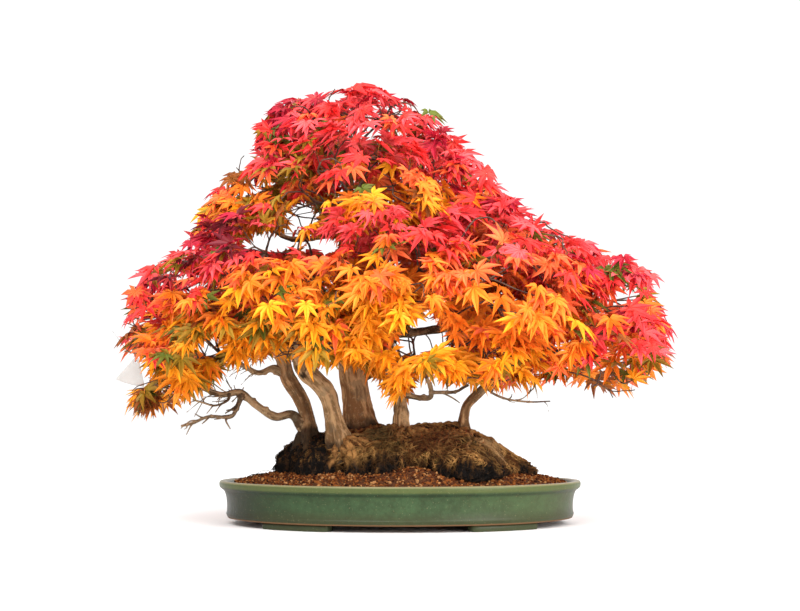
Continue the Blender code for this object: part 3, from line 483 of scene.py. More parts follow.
# A granule starts as a ball of twenty faces, whose corners are then pushed in and out.
golden = (1 + math.sqrt(5)) / 2
ball = np.array([
    (-1, golden, 0), (1, golden, 0), (-1, -golden, 0), (1, -golden, 0),
    (0, -1, golden), (0, 1, golden), (0, -1, -golden), (0, 1, -golden),
    (golden, 0, -1), (golden, 0, 1), (-golden, 0, -1), (-golden, 0, 1),
]) / math.hypot(1, golden)
ball_faces = np.array([
    (0, 11, 5), (0, 5, 1), (0, 1, 7), (0, 7, 10), (0, 10, 11), (1, 5, 9), (5, 11, 4),
    (11, 10, 2), (10, 7, 6), (7, 1, 8), (3, 9, 4), (3, 4, 2), (3, 2, 6), (3, 6, 8), (3, 8, 9),
    (4, 9, 5), (2, 4, 11), (6, 2, 10), (8, 6, 7), (9, 8, 1),
])
granule_paints = []
for number, tint in enumerate(GRANULE_TINTS):
    paint, shader, place = new_material(
        f"granule_{number}", Roughness=0.92, Specular_IOR_Level=0.05
    )
    dust = place.grain(700.0, 3.0, 0.6)
    colour = dust.rise(0.3, 0.75).between([0.6 * part for part in tint], tint)
    feed(shader, Base_Color=colour, bump=(dust, 0.0006))
    granule_paints.append(paint)
spin = rng.uniform(0, math.tau, GRANULE_COUNT)
ring = np.sqrt(rng.uniform(0.05, 0.985, GRANULE_COUNT))
middle = np.stack([
    SOIL_SIDE * ring * np.cos(spin), SOIL_SIDE * POT_OVAL * ring * np.sin(spin), soil_top(ring)
], axis=1) + SHIFT
size = rng.uniform(*GRANULE_RADIUS, GRANULE_COUNT)
size *= 1 + 0.5 * (rng.random(GRANULE_COUNT) < BIG_GRANULE_SHARE)
middle[:, 2] += soil_lumps(middle) + size * rng.uniform(-0.2, 0.5, GRANULE_COUNT)
middle[:, 2] += gravel_heap(middle)
lumpy = ball[None] * rng.uniform(0.62, 1.18, (GRANULE_COUNT, len(ball), 1))
lumpy *= rng.uniform(0.75, 1.15, (GRANULE_COUNT, 1, 3))
grains = middle[:, None] + lumpy * size[:, None, None]
grain_faces = ball_faces[None] + len(ball) * np.arange(GRANULE_COUNT)[:, None, None]
grain_tint = rng.choice(len(GRANULE_TINTS), GRANULE_COUNT, p=GRANULE_SHARES)
grain_tint = np.repeat(grain_tint, len(ball_faces))
granules = new_piece(
    "soil_granules", grains.reshape(-1, 3), grain_faces.reshape(-1, 3), granule_paints,
    False, grain_tint,
)
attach(granules, "root")

# ---------------------------------------------------------------- the root mound
# Years of matted roots with old soil in them. The top is brown and fibrous with a breath of
# moss, the foot is undercut and nearly black, and roots creep down it from every trunk.

MOUND_CENTRE = SHIFT + (0.006, 0.000, 0.070)
MOUND_HALF = np.array((0.176, 0.116, 0.062))
MOUND_DEPTH = 0.016
MOUND_SQUARENESS = 0.74
MOUND_FALL_RIGHT = 0.030
MOUND_FALL_FRONT = 0.012
# At the right end the top slumps by this share of its height, over this length.
SLUMP_FROM = 0.105
SLUMP_LENGTH = 0.070
SLUMP_SHARE = 0.56
MOUND_ROWS = 170
MOUND_COLUMNS = 400
ROOT_BROWN = (0.105, 0.040, 0.012)
ROOT_TAN = (0.460, 0.230, 0.068)
ROOT_BLACK = (0.0075, 0.0055, 0.0045)
ROOT_MOSS = (0.105, 0.100, 0.024)
ROOT_RED = (0.130, 0.036, 0.014)
ROOT_DARK_BROWN = (0.056, 0.023, 0.007)
ROOT_INK = (0.075, 0.036, 0.015)
# Tones and painted light: where each has its middle, how far it reaches, how strong, and its
# colour.
# The first, dark, in front of the main trunk is painted shade, and the three golden-tan ones are
# painted highlights on the mound's top; the rest are darker brown and red-brown tones.
ROOT_TONES_AND_LIGHT = (
    ((-0.030, -0.045, 0.120), 0.034, 0.70, (0.050, 0.038, 0.013)),
    ((-0.016, -0.088, 0.110), 0.032, 0.65, (0.062, 0.038, 0.010)),
    ((0.048, -0.075, 0.112), 0.048, 0.60, (0.085, 0.026, 0.010)),
    ((0.085, -0.070, 0.107), 0.028, 0.60, (0.052, 0.036, 0.012)),
    ((0.160, -0.050, 0.090), 0.026, 0.45, (0.330, 0.195, 0.090)),
    ((0.134, -0.060, 0.110), 0.038, 0.70, (0.450, 0.275, 0.125)),
    ((0.026, -0.092, 0.080), 0.024, 0.85, (0.026, 0.011, 0.005)),
    ((-0.052, -0.112, 0.081), 0.025, 0.80, (0.030, 0.015, 0.007)),
    ((-0.012, -0.112, 0.080), 0.024, 0.80, (0.026, 0.013, 0.006)),
    ((0.108, -0.100, 0.086), 0.034, 0.70, (0.080, 0.040, 0.014)),
    ((-0.062, -0.100, 0.096), 0.030, 0.40, (0.420, 0.225, 0.070)),
)
# The mound's own shape on top of the lobes, side by side: where along it, how wide, and how
# far its front stands out there. The last number is how much of the height it takes too.
MOUND_FOLDS = (
    (-0.098, 0.016, -0.020, 0.20), (-0.060, 0.030, 0.006, 0.00), (0.018, 0.020, -0.016, 0.04),
    (0.098, 0.036, 0.026, 0.00), (0.142, 0.014, -0.016, 0.12), (-0.140, 0.028, -0.014, 0.00),
)
FIBRE_COUNT = 4200
FIBRE_RADII = (0.00024, 0.00090)
HAIR_COUNT = 8
HAIR_RADIUS = 0.00042


def mound_point(tilt, turn):
    """A point of the mound's skin: a ball made square-shouldered, x = a c^q cos(turn) and
    y = b c^q sin(turn) with c the cosine of tilt, its sides pushed out in lobes."""
    flat = np.cos(tilt)
    rise = np.sign(np.sin(tilt)) * np.abs(np.sin(tilt)) ** 0.8
    spread = flat**MOUND_SQUARENESS * mound_lobes(turn)
    spread = spread * np.where(rise > 0, 1.0, 1.0 + 0.10 * rise)
    x = MOUND_HALF[0] * spread * np.cos(turn)
    y = MOUND_HALF[1] * spread * np.sin(turn)
    fall = MOUND_FALL_RIGHT * np.clip(x / MOUND_HALF[0] - 0.45, 0, 1)
    fall = fall + MOUND_FALL_FRONT * np.clip(-y / MOUND_HALF[1], 0, 1)
    height = MOUND_HALF[2] - fall
    front = np.clip(-y / MOUND_HALF[1], 0, 1)
    for middle, width, push, share in MOUND_FOLDS:
        near = np.exp(-(((x - middle) / width) ** 2))
        low = 1 - 0.55 * np.maximum(rise, 0)
        y = y - push * near * np.minimum(front * 2.2, 1) * low
        height = height * (1 - share * near * (0.25 + 0.75 * front))
    slump = np.clip((x - SLUMP_FROM) / SLUMP_LENGTH, 0, 1)
    height = height * (1 - SLUMP_SHARE * slump * slump * (3 - 2 * slump))
    z = np.where(rise > 0, height * rise, MOUND_DEPTH * rise)
    return np.stack([x, y, z], axis=-1) + MOUND_CENTRE


def mound_lobes(turn):
    """How far the sides stand out: 1, with waves of 5 and 11 lobes and a bulge front right."""
    lobes = 1 + 0.055 * np.sin(5 * turn + 0.6) + 0.035 * np.sin(11 * turn + 2.0)
    return lobes + 0.07 * np.exp(-(((turn + 1.0) / 0.35) ** 2))


def mound_relief(points, tilt):
    """How far the skin stands out: lumps, deep clefts low on the sides, and hanging roots."""
    side = np.exp(-(((tilt - 0.20) / 0.60) ** 2))
    cleft = 1 - 2 * np.abs(lattice_noise(points * (1, 1, 0.40), 0.024, 61))
    strings = 1 - 2.4 * np.abs(lattice_noise(points * (1, 1, 0.22), 0.0080, 67))
    threads = 1 - 2.4 * np.abs(lattice_noise(points * (1, 1, 0.30), 0.0036, 69))
    crumbs = rough(points, 0.0050, 71, 2)
    return (
        0.0080 * rough(points, 0.032, 51, 4) - 0.0120 * side * np.maximum(cleft - 0.20, 0)
        + 0.0040 * side * strings + 0.0018 * (0.4 + side) * threads + 0.0026 * crumbs
    )


def mound_skin(tilt, turn, lift=0.0):
    """The mound's finished skin, with its relief, and lifted off it if asked."""
    skin = mound_point(tilt, turn)
    outward = skin - MOUND_CENTRE
    outward = outward * (1, 1, 1.6)
    outward = outward / np.linalg.norm(outward, axis=-1, keepdims=True)
    return skin + outward * (mound_relief(skin, tilt) + lift)[..., None]


def tones_and_dark_foot(place, colour):
    """The colour changed by where it lies: the listed tones, painted shade and highlights among
    them, each strongest at its middle, then a darker brown below a ragged line, higher under the
    left trunk and lower at the right end, and black that hangs down through it in strings, with
    dull brown knobs in it."""
    left = float(SHIFT[0]) - place.part(0)
    patch = place.grain(22.0, 4.0, 0.6)
    ragged = 0.030 * (patch - 0.5)
    for middle, reach, share, tone in ROOT_TONES_AND_LIGHT:
        away = place.away_from(SHIFT + middle) + ragged
        colour = (away.rise(reach, 0.35 * reach) * share).between(colour, tone)
    strings = place.grain(85.0, 4.0, 0.6, (1.0, 1.0, 0.20))
    height = place.part(2) + 0.045 * (patch - 0.5) + 0.085 * (strings - 0.5)
    height = height - 0.055 * (left + ragged).rise(0.092, 0.110)
    height = height + 0.009 * (left + ragged).rise(-0.125, -0.150)
    darker_band = height.rise(0.100, 0.084)
    colour = (darker_band * 0.72).between(colour, ROOT_DARK_BROWN)
    fine = place.grain(210.0, 4.0, 0.65, (1.0, 1.0, 0.45))
    low = 0.10 * place.part(2).rise(0.086, 0.074)
    black = height.rise(0.089, 0.075) * (0.55 * strings + 0.45 * fine - low).rise(0.61, 0.49)
    knobs = place.grain(150.0, 3.0, 0.6, (1.0, 1.0, 0.50))
    ink = (knobs.rise(0.52, 0.66) * 0.65).between(ROOT_BLACK, ROOT_INK)
    return black.between(colour, ink)


mound_paint, mound_shader, place = new_material(
    "root_mat", Roughness=0.95, Specular_IOR_Level=0.12
)
tangle = place.grain(70.0, 8.0, 0.75)
strings = place.grain(150.0, 6.0, 0.72, (1.0, 1.0, 0.22))
colour = (0.5 * strings + 0.5 * tangle).rise(0.46, 0.60).between(ROOT_BROWN, ROOT_TAN)
colour = (place.grain(13.0, 2.0, 0.5).rise(0.50, 0.60) * 0.55).between(colour, ROOT_RED)
# Painted shade: black where the tangle's relief is lowest, in the hollows between the roots.
colour = tangle.rise(0.485, 0.425).between(colour, ROOT_BLACK)
moss = place.grain(11.0, 3.0, 0.55).rise(0.55, 0.63) * tangle.rise(0.42, 0.58)
colour = (moss * 0.75).between(colour, ROOT_MOSS)
feed(
    mound_shader, Base_Color=tones_and_dark_foot(place, colour),
    bump=(0.5 * tangle + 0.5 * strings, 0.016),
)
tilt = np.linspace(-math.pi / 2, math.pi / 2, MOUND_ROWS + 2)[1:-1, None]
turn = np.linspace(-math.pi, math.pi, MOUND_COLUMNS, endpoint=False)[None]
skin = mound_skin(tilt + 0 * turn, turn + 0 * tilt)
mound = new_piece(
    "root_mound_mat", with_poles(skin), grid_faces(MOUND_ROWS, MOUND_COLUMNS), [mound_paint]
)
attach(mound, "root")
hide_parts("root_mound")


def tube_rows(paths, radii, sides, relief=None):
    """Rings round many paths at once, as an array of path, station, side and coordinate.

    Each ring stands square to its path. Its first side is the one before it, turned only as
    far as the path has bent: s = s - (s . t) t, with t the direction there. The relief is
    a function of the rings' points, and gives how much farther out each one goes."""
    paths = np.asarray(paths, float)
    ahead = np.gradient(paths, axis=1)
    ahead /= np.linalg.norm(ahead, axis=2, keepdims=True) + 1e-12
    guide = np.where(np.abs(ahead[:, :1, 1:2]) < 0.8, (0.0, 1.0, 0.0), (1.0, 0.0, 0.0))
    side = guide[:, 0]
    sides_along = []
    for station in range(paths.shape[1]):
        tangent = ahead[:, station]
        side = side - np.sum(side * tangent, axis=1, keepdims=True) * tangent
        side = side / np.linalg.norm(side, axis=1, keepdims=True)
        sides_along.append(side)
    side = np.stack(sides_along, axis=1)
    up = np.cross(ahead, side)
    angle = np.arange(sides) / sides * math.tau
    spoke = np.cos(angle)[:, None] * side[:, :, None] + np.sin(angle)[:, None] * up[:, :, None]
    reach = np.asarray(radii)[..., None, None]
    if relief is not None:
        reach = reach * (1 + relief(paths[:, :, None] + spoke * reach))[..., None]
    return paths[:, :, None] + spoke * reach


def tubes_mesh(rows):
    """Points and faces of many closed tubes, from the rings of tube_rows."""
    count, stations, sides, _ = rows.shape
    body = rows.reshape(count, -1, 3)
    points = np.concatenate(
        [rows[:, :1].mean(axis=2), body, rows[:, -1:].mean(axis=2)], axis=1
    )
    start = points.shape[1] * np.arange(count)[:, None, None]
    faces = grid_faces(stations, sides)
    faces = [(some[None] + start).reshape(-1, some.shape[1]) for some in faces]
    return points.reshape(-1, 3), faces


def root_bark(points):
    """How much thicker a root is than round: lumps, and finer wrinkles on them."""
    return 0.16 * rough(points, 0.0055, 81, 2) + 0.10 * lattice_noise(points, 0.0022, 85)


# Creeping roots start at the foot of each trunk and wander down over the mat. Where the
# mound's plan ends they turn down its side. Each foot: its place, and how many leave it.
FEET = {
    "trunk_left": (-0.127, -0.008, 12), "trunk_front": (-0.081, -0.058, 14),
    "trunk_main": (-0.055, 0.030, 20), "trunk_middle": (0.002, -0.020, 16),
    "trunk_right": (0.089, 0.000, 16),
}
ROOT_STATIONS = 46
ROOT_SIDES = 14
ROOT_LENGTHS = (0.045, 0.130)
ROOT_RADII = (0.0016, 0.0052)
FORWARD_SHARE = 0.55
root_feet = np.vstack([[(x, y)] * count for x, y, count in FEET.values()])
steps = np.linspace(0, 1, ROOT_STATIONS)
heading = rng.uniform(0, math.tau, len(root_feet))
forward = rng.random(len(root_feet)) < FORWARD_SHARE
heading = np.where(forward, -math.pi / 2 + rng.normal(0, 0.75, len(heading)), heading)
root_length = rng.uniform(*ROOT_LENGTHS, len(root_feet))
swing = rng.normal(0, 0.9, (len(root_feet), 1)) * steps
swing = swing + 0.35 * np.sin(steps * rng.uniform(8, 18, (len(root_feet), 1)))
way = heading[:, None] + swing
stride = root_length[:, None] / len(steps)
plan_x = root_feet[:, :1] + np.cumsum(np.cos(way) * stride, axis=1) - 0.006
plan_y = root_feet[:, 1:] + np.cumsum(np.sin(way) * stride, axis=1)
turn = np.arctan2(plan_y / MOUND_HALF[1], plan_x / MOUND_HALF[0])
share = np.hypot(plan_x / MOUND_HALF[0], plan_y / MOUND_HALF[1]) / mound_lobes(turn)
tilt = np.arccos(np.minimum(share, 1.0) ** (1 / MOUND_SQUARENESS)) - 5 * np.maximum(share - 1, 0)
tilt = np.maximum(tilt, -0.7)
root_width = rng.uniform(*ROOT_RADII, (len(root_feet), 1)) * (1.05 - steps) ** 0.7
root_width = root_width * (1 + 0.18 * np.sin(steps * rng.uniform(20, 60, root_width[:, :1].shape)))
root_paths = mound_skin(tilt, turn, 0.15 * root_width)
root_rows = tube_rows(root_paths, root_width, ROOT_SIDES, root_bark)
root_points, root_faces = tubes_mesh(root_rows)
root_paint, root_shader, place = new_material(
    "creeping_root", Roughness=0.9, Specular_IOR_Level=0.15
)
ring = place.grain(160.0, 5.0, 0.65)
patch = place.grain(22.0, 4.0, 0.6)
colour = (0.6 * ring + 0.4 * patch).rise(0.36, 0.66)
colour = colour.between((0.095, 0.036, 0.012), (0.420, 0.208, 0.066))
feed(root_shader, Base_Color=tones_and_dark_foot(place, colour), bump=(ring, 0.0026))
creeping = new_piece("creeping_roots", root_points, root_faces, [root_paint])
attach(creeping, "root")

# Fibres lie on the mat and hang down its sides, each a thin tube that follows the skin.
stations = np.linspace(0, 1, 6)
start_tilt = rng.uniform(0.02, 1.0, FIBRE_COUNT) ** 1.3
start_turn = rng.uniform(-math.pi, math.pi, FIBRE_COUNT)
fall = rng.uniform(0.10, 0.50, FIBRE_COUNT)
drift = rng.normal(0, 0.10, FIBRE_COUNT) / (0.3 + np.cos(start_tilt))
fibre_tilt = start_tilt[:, None] - fall[:, None] * stations
fibre_turn = start_turn[:, None] + drift[:, None] * stations
wave = rng.uniform(0, math.tau, FIBRE_COUNT)[:, None]
fibre_turn = fibre_turn + 0.012 * np.sin(7 * stations + wave)
lift = rng.uniform(0.0002, 0.0030, FIBRE_COUNT)[:, None] * np.sin(math.pi * stations) + 0.0003
fibres = mound_skin(fibre_tilt, fibre_turn, lift)
fibre_width = rng.uniform(*FIBRE_RADII, FIBRE_COUNT)[:, None] * (1.15 - stations)
fibre_points, fibre_faces = tubes_mesh(tube_rows(fibres, fibre_width, 3))
# A few dry hairs curl up off the soil beside the mound.
bend = np.linspace(0, math.pi, 16)[None]
hair_x = rng.uniform(-0.205, -0.165, (HAIR_COUNT, 1))
hair_x = hair_x + rng.uniform(0.006, 0.013, (HAIR_COUNT, 1)) * np.cos(bend)
hair_y = rng.uniform(-0.050, 0.040, (HAIR_COUNT, 1)) + 0.005 * np.cos(bend * 1.6)
hair_ring = np.hypot(hair_x, hair_y / POT_OVAL) / SOIL_SIDE
hair_z = soil_top(hair_ring) + rng.uniform(0.003, 0.011, (HAIR_COUNT, 1)) * np.sin(bend)
hairs = np.stack([hair_x, hair_y, hair_z], axis=2) + SHIFT
hair_width = np.full(hairs.shape[:2], HAIR_RADIUS)
hair_points, hair_faces = tubes_mesh(tube_rows(hairs, hair_width, 4))
fibre_faces += [some + len(fibre_points) for some in hair_faces]
fibre_points = np.vstack([fibre_points, hair_points])
fibre_paint, fibre_shader, place = new_material(
    "root_fibre", Roughness=0.9, Specular_IOR_Level=0.15
)
tone = place.grain(60.0, 4.0, 0.6)
colour = tone.rise(0.35, 0.66).between((0.105, 0.040, 0.012), (0.50, 0.262, 0.080))
feed(fibre_shader, Base_Color=tones_and_dark_foot(place, colour), bump=(place.grain(900.0), 0.0004))
fibre_piece = new_piece("root_fibres", fibre_points, fibre_faces, [fibre_paint])
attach(fibre_piece, "root")

# ---------------------------------------------------------------- trunks and boughs
# Old wood with thin bark, split into fine upright cracks and swollen where branches were cut
# off years ago. Each trunk is one piece with the boughs that leave it.

# Each limb's places along its middle and its radius at each, in millimetres.
TRUNKS = {
    "trunk_left": (
        ((-127, -8, 96), (-127, -8, 120), (-130, -8, 148), (-139, -8, 174), (-156, -8, 200),
         (-164, -6, 228), (-178, 0, 262), (-200, 4, 292)),
        (14.0, 10.5, 9.2, 10.2, 10.8, 9.6, 6.5, 4.0),
    ),
    "trunk_front": (
        ((-81, -58, 84), (-81, -58, 107), (-87, -57, 134), (-93, -57, 160), (-99, -58, 178),
         (-112, -60, 194), (-127, -64, 209), (-140, -72, 240), (-142, -88, 278)),
        (18.0, 13.6, 12.2, 11.6, 12.6, 12.0, 12.5, 8.0, 4.0),
    ),
    "trunk_main": (
        ((-55, 30, 92), (-55, 30, 126), (-60, 30, 160), (-63, 30, 187), (-68, 28, 215),
         (-79, 24, 310), (-75, 20, 413), (-70, 6, 505)),
        (29.0, 22.0, 19.8, 19.2, 19.6, 15.5, 9.8, 4.0),
    ),
    "trunk_middle": (
        ((2, -20, 96), (2, -20, 124), (1, -20, 148), (1, -20, 167), (-4, -21, 187),
         (-16, -23, 210), (-22, -26, 229), (-14, -30, 252), (2, -42, 280), (24, -66, 300)),
        (14.0, 10.0, 10.2, 8.2, 8.4, 8.6, 8.8, 8.2, 5.0, 3.2),
    ),
    "trunk_right": (
        ((89, 0, 98), (89, 0, 124), (89, 0, 142), (93, 0, 161), (104, 0, 174),
         (117, 0, 186), (132, -1, 200), (160, -4, 212), (186, -8, 222)),
        (12.0, 7.4, 6.4, 6.3, 6.9, 6.6, 6.0, 4.6, 3.2),
    ),
}
# Each bough: the trunk that it leaves, then its places and radii.
BOUGHS = {
    "bough_low_left": (
        "trunk_left",
        ((-127, -8, 124), (-138, -10, 138), (-152, -12, 150), (-173, -14, 147), (-200, -18, 163),
         (-221, -21, 180), (-247, -25, 177), (-272, -28, 186)),
        (7.0, 6.8, 6.4, 5.9, 5.3, 5.0, 4.0, 3.2),
    ),
    "bough_left": (
        "trunk_left",
        ((-162, -8, 206), (-176, -12, 214), (-196, -20, 207), (-214, -30, 216), (-232, -42, 226)),
        (5.0, 4.2, 3.8, 3.4, 2.6),
    ),
    "bough_front_left": (
        "trunk_front",
        ((-125, -64, 204), (-118, -78, 214), (-112, -92, 226)),
        (5.0, 4.4, 2.8),
    ),
    "bough_elbow": (
        "trunk_middle",
        ((1, -20, 178), (10, -22, 177), (24, -26, 173), (41, -32, 173), (42, -40, 186),
         (36, -52, 200)),
        (4.4, 4.2, 3.8, 3.8, 3.2, 2.4),
    ),
    "bough_front": (
        "trunk_main",
        ((-73, 26, 262), (-66, -4, 282), (-52, -52, 290), (-32, -104, 304)),
        (7.0, 6.0, 4.6, 3.0),
    ),
    "bough_right": (
        "trunk_main",
        ((-73, 26, 250), (-40, 30, 262), (40, 24, 268), (130, 14, 288), (206, 6, 304)),
        (8.0, 7.2, 6.0, 4.6, 3.2),
    ),
    "bough_back_left": (
        "trunk_main",
        ((-75, 26, 272), (-84, 56, 288), (-108, 108, 304)),
        (6.6, 5.4, 3.0),
    ),
    "bough_back_right": (
        "trunk_main",
        ((-77, 25, 292), (-44, 52, 300), (34, 112, 312)),
        (6.6, 5.2, 3.0),
    ),
    "bough_low_back": (
        "trunk_main",
        ((-62, 30, 190), (-44, 58, 206), (6, 98, 222)),
        (6.0, 5.0, 2.8),
    ),
    "bough_shoulder": (
        "trunk_main",
        ((-79, 24, 318), (-44, 16, 332), (36, 10, 352), (104, 8, 372)),
        (6.6, 5.6, 4.4, 2.8),
    ),
    "bough_upper_left": (
        "trunk_main",
        ((-75, 20, 404), (-101, 12, 402), (-137, 4, 396), (-160, -2, 398), (-182, -8, 410),
         (-204, -12, 419)),
        (5.0, 4.4, 3.8, 3.4, 3.0, 2.4),
    ),
    "bough_upper_right": (
        "trunk_main",
        ((-75, 20, 400), (-52, 16, 403), (-6, 8, 412), (24, 2, 420)),
        (5.0, 4.4, 3.6, 2.6),
    ),
    "bough_upper_front": (
        "trunk_main",
        ((-75, 20, 414), (-72, -8, 424), (-66, -58, 438)),
        (5.4, 4.6, 2.8),
    ),
    "bough_upper_back": (
        "trunk_main",
        ((-75, 19, 424), (-72, 44, 434), (-62, 80, 446)),
        (5.4, 4.6, 2.8),
    ),
}
BARE = {
    "bare_branch": (
        "bough_low_left",
        ((-218, -21, 178), (-226, -26, 156), (-235, -29, 146), (-262, -32, 147), (-284, -35, 138),
         (-300, -37, 134)),
        (2.4, 2.2, 2.0, 1.7, 1.4, 1.0),
    ),
    "bare_twig_left": (
        "bough_low_left",
        ((-236, -24, 178), (-236, -40, 169), (-252, -48, 162), (-268, -52, 166), (-282, -54, 170)),
        (2.0, 1.7, 1.5, 1.3, 1.0),
    ),
    "bare_fork": (
        "bough_elbow",
        ((40, -36, 180), (58, -40, 180), (76, -42, 181), (94, -44, 190)),
        (2.8, 2.4, 2.0, 1.5),
    ),
    "tag_twig": (
        "bough_low_left",
        ((-250, -25, 178), (-290, -46, 200), (-330, -58, 224), (-357, -60, 232), (-374, -61, 236)),
        (2.3, 1.9, 1.6, 1.3, 0.9),
    ),
    "bare_twig_right": (
        "trunk_right",
        ((121, 0, 191), (126, -10, 181), (148, -16, 171), (180, -18, 167), (208, -18, 168)),
        (2.2, 2.0, 1.8, 1.5, 1.0),
    ),
}
# Where old branches were cut: each swelling's middle, how far it reaches, and its height.
SWELLINGS = {
    "trunk_front": (((-117, -70, 199), 10.0, 4.2), ((-134, -62, 214), 9.0, 4.6),
                    ((-126, -80, 203), 5.0, -7.5), ((-135, -78, 213), 3.8, -4.5),
                    ((-118, -78, 189), 3.4, -3.0), ((-119, -80, 212), 5.0, 3.0),
                    ((-128, -80, 192), 5.0, 2.4), ((-108, -74, 196), 6.0, 2.2),
                    ((-99, -66, 188), 9.0, 4.4), ((-92, -66, 168), 7.0, 1.6),
                    ((-80, -66, 112), 12.0, 2.0)),
    "trunk_main": (((-60, 12, 176), 11.0, 2.4), ((-74, 14, 232), 10.0, 2.2),
                   ((-50, 14, 138), 12.0, 2.0)),
    "trunk_middle": (((7, -28, 152), 8.0, 3.0), ((-5, -26, 160), 7.0, 2.6),
                     ((3, -27, 133), 8.0, 2.2), ((-21, -30, 228), 8.0, 2.0)),
    "trunk_left": (((-136, -14, 168), 9.0, 2.0), ((-150, -10, 198), 9.0, 2.2),
                   ((-121, -12, 130), 8.0, 1.8)),
    "trunk_right": (((88, -5, 140), 6.0, 1.8), ((118, -4, 190), 7.0, 2.0)),
}
BARK_STEP = 0.0013
BARK_PITCH = 0.0013
FISSURE = 0.00120
# The swelling where a bough leaves its trunk: how much wider, and how far along in radii.
COLLAR_SHARE = 0.45
COLLAR_REACH = 1.6
KNOT_SPACING = 0.012
FLARE_FOOT_Z = 0.122
FLARE_HEIGHT = 0.016
CRACK_BROWN = (0.045, 0.022, 0.010)
HOLLOW_SHADE_BLACK = (0.012, 0.008, 0.005)
BARK_PALE = (0.620, 0.410, 0.220)
BARK_GREY = (0.540, 0.330, 0.160)
BARK_LICHEN = (0.165, 0.125, 0.078)
# How much wider than itself each trunk's foot is, by its own roots.
FLARES = {"trunk_left": 0.60, "trunk_front": 0.30, "trunk_main": 0.38, "trunk_middle": 0.50,
          "trunk_right": 0.95}


def limb_line(points, radii, step):
    """Stations about step apart on the limb's curve, and the limb's radius at each."""
    spans = curve_through(np.column_stack([points, radii]) * MM, 40)
    length = np.append(0, np.cumsum(np.linalg.norm(np.diff(spans[:, :3], axis=0), axis=1)))
    even = np.linspace(0, length[-1], max(4, round(length[-1] / step)))
    line = np.stack([np.interp(even, length, spans[:, axis]) for axis in range(4)], axis=1)
    return line[:, :3], line[:, 3], even


def limb_skin(name, points, radii, carrier_radius):
    """Rings of one limb with its swellings, collar, root flare and cracked bark, and for
    every point the bark's own coordinates: round the limb, and a quarter of the way along."""
    line, width, length = limb_line(points, radii, BARK_STEP)
    sides = int(np.clip(math.tau * width.max() / BARK_PITCH, 20, 108))
    outside = np.maximum(length - carrier_radius, 0)
    collar = COLLAR_SHARE * np.exp(-(outside / (COLLAR_REACH * width[0])) ** 2)
    if carrier_radius == 0:
        foot = np.maximum(line[:, 2] - FLARE_FOOT_Z, 0) / FLARE_HEIGHT
        collar = FLARES[name] * np.exp(-foot)
    width = width * (1 + collar)
    rows = tube_rows(line[None], width[None], sides)[0]
    spoke = (rows - line[:, None]) / width[:, None, None]
    angle = np.arange(sides) / sides * math.tau
    seed = sum(map(ord, name)) % 89
    round_it = np.stack([
        width[:, None] * np.cos(angle), width[:, None] * np.sin(angle),
        length[:, None] + 0 * angle,
    ], axis=-1)
    knobs = 0.12 * rough(round_it * (1, 1, 0.8), 0.018, seed, 3) * width[:, None]
    if carrier_radius:
        knobs += 0.20 * rough(round_it, 0.0125, seed + 5, 2) * width[:, None]
    ribs = 0.09 * lattice_noise(round_it * (1, 1, 0.12), 0.009, seed + 3) * width[:, None]
    cracks = 1 - np.abs(rough(round_it * (1, 1, 0.16), 0.0046, seed + 7, 2)) * 3.2
    scale = np.clip(width / 0.010, 0.25, 1.0)[:, None]
    relief = knobs + ribs - FISSURE * scale * np.maximum(cracks, 0)
    relief += 0.00030 * scale * rough(round_it * (1, 1, 0.4), 0.0030, seed + 9, 2)
    if carrier_radius == 0:
        lobes = np.sin(5 * angle + seed)[None] + 0.6 * np.sin(3 * angle + 2.0 * seed)[None]
        relief += 0.16 * lobes * (width * np.exp(-foot * 0.9))[:, None]
    if carrier_radius > 0.002:
        # Knots where shoots were cut: one about every twelve millimetres, on any side.
        dice = np.random.default_rng(seed)
        many = round(length[-1] / KNOT_SPACING)
        for knot in dice.uniform(0.006, max(length[-1] - 0.004, 0.007), many):
            at = int(np.searchsorted(length, knot))
            spot = rows[at, dice.integers(sides)]
            reach = dice.uniform(0.45, 0.90) * width[at]
            away = np.linalg.norm(rows - spot, axis=2) / reach
            relief += dice.uniform(0.20, 0.62) * width[at] * np.exp(-away**2)
    for centre, reach, height in SWELLINGS.get(name, ()):
        away = np.linalg.norm(rows - np.array(centre) * MM, axis=2) / (reach * MM)
        relief += height * MM * np.exp(-away**2)
    fade = np.minimum(1, (length[-1] - length) / 0.004)[:, None]
    skin = rows + spoke * (relief * fade)[..., None]
    return skin + SHIFT, round_it * (1, 1, 0.15) + seed


def joined_meshes(parts):
    """One list of points, faces and grain from several of them."""
    start = np.cumsum([0] + [len(points) for points, _, _ in parts])
    points = np.vstack([points for points, _, _ in parts])
    grain = np.vstack([grain for _, _, grain in parts])
    faces = [some + first for first, (_, both, _) in zip(start, parts) for some in both]
    return points, faces, grain


def set_grain(piece, grain):
    """Keeps a vector on each point, which a material reads under the name grain."""
    kept = piece.data.attributes.new("grain", "FLOAT_VECTOR", "POINT")
    kept.data.foreach_set("vector", np.asarray(grain, np.float32).ravel())


def read_grain(tree):
    """The vector that set_grain kept on each point, as a Wire."""
    reader = tree.nodes.new("ShaderNodeAttribute")
    reader.attribute_name = "grain"
    return Wire(tree, reader.outputs["Vector"])


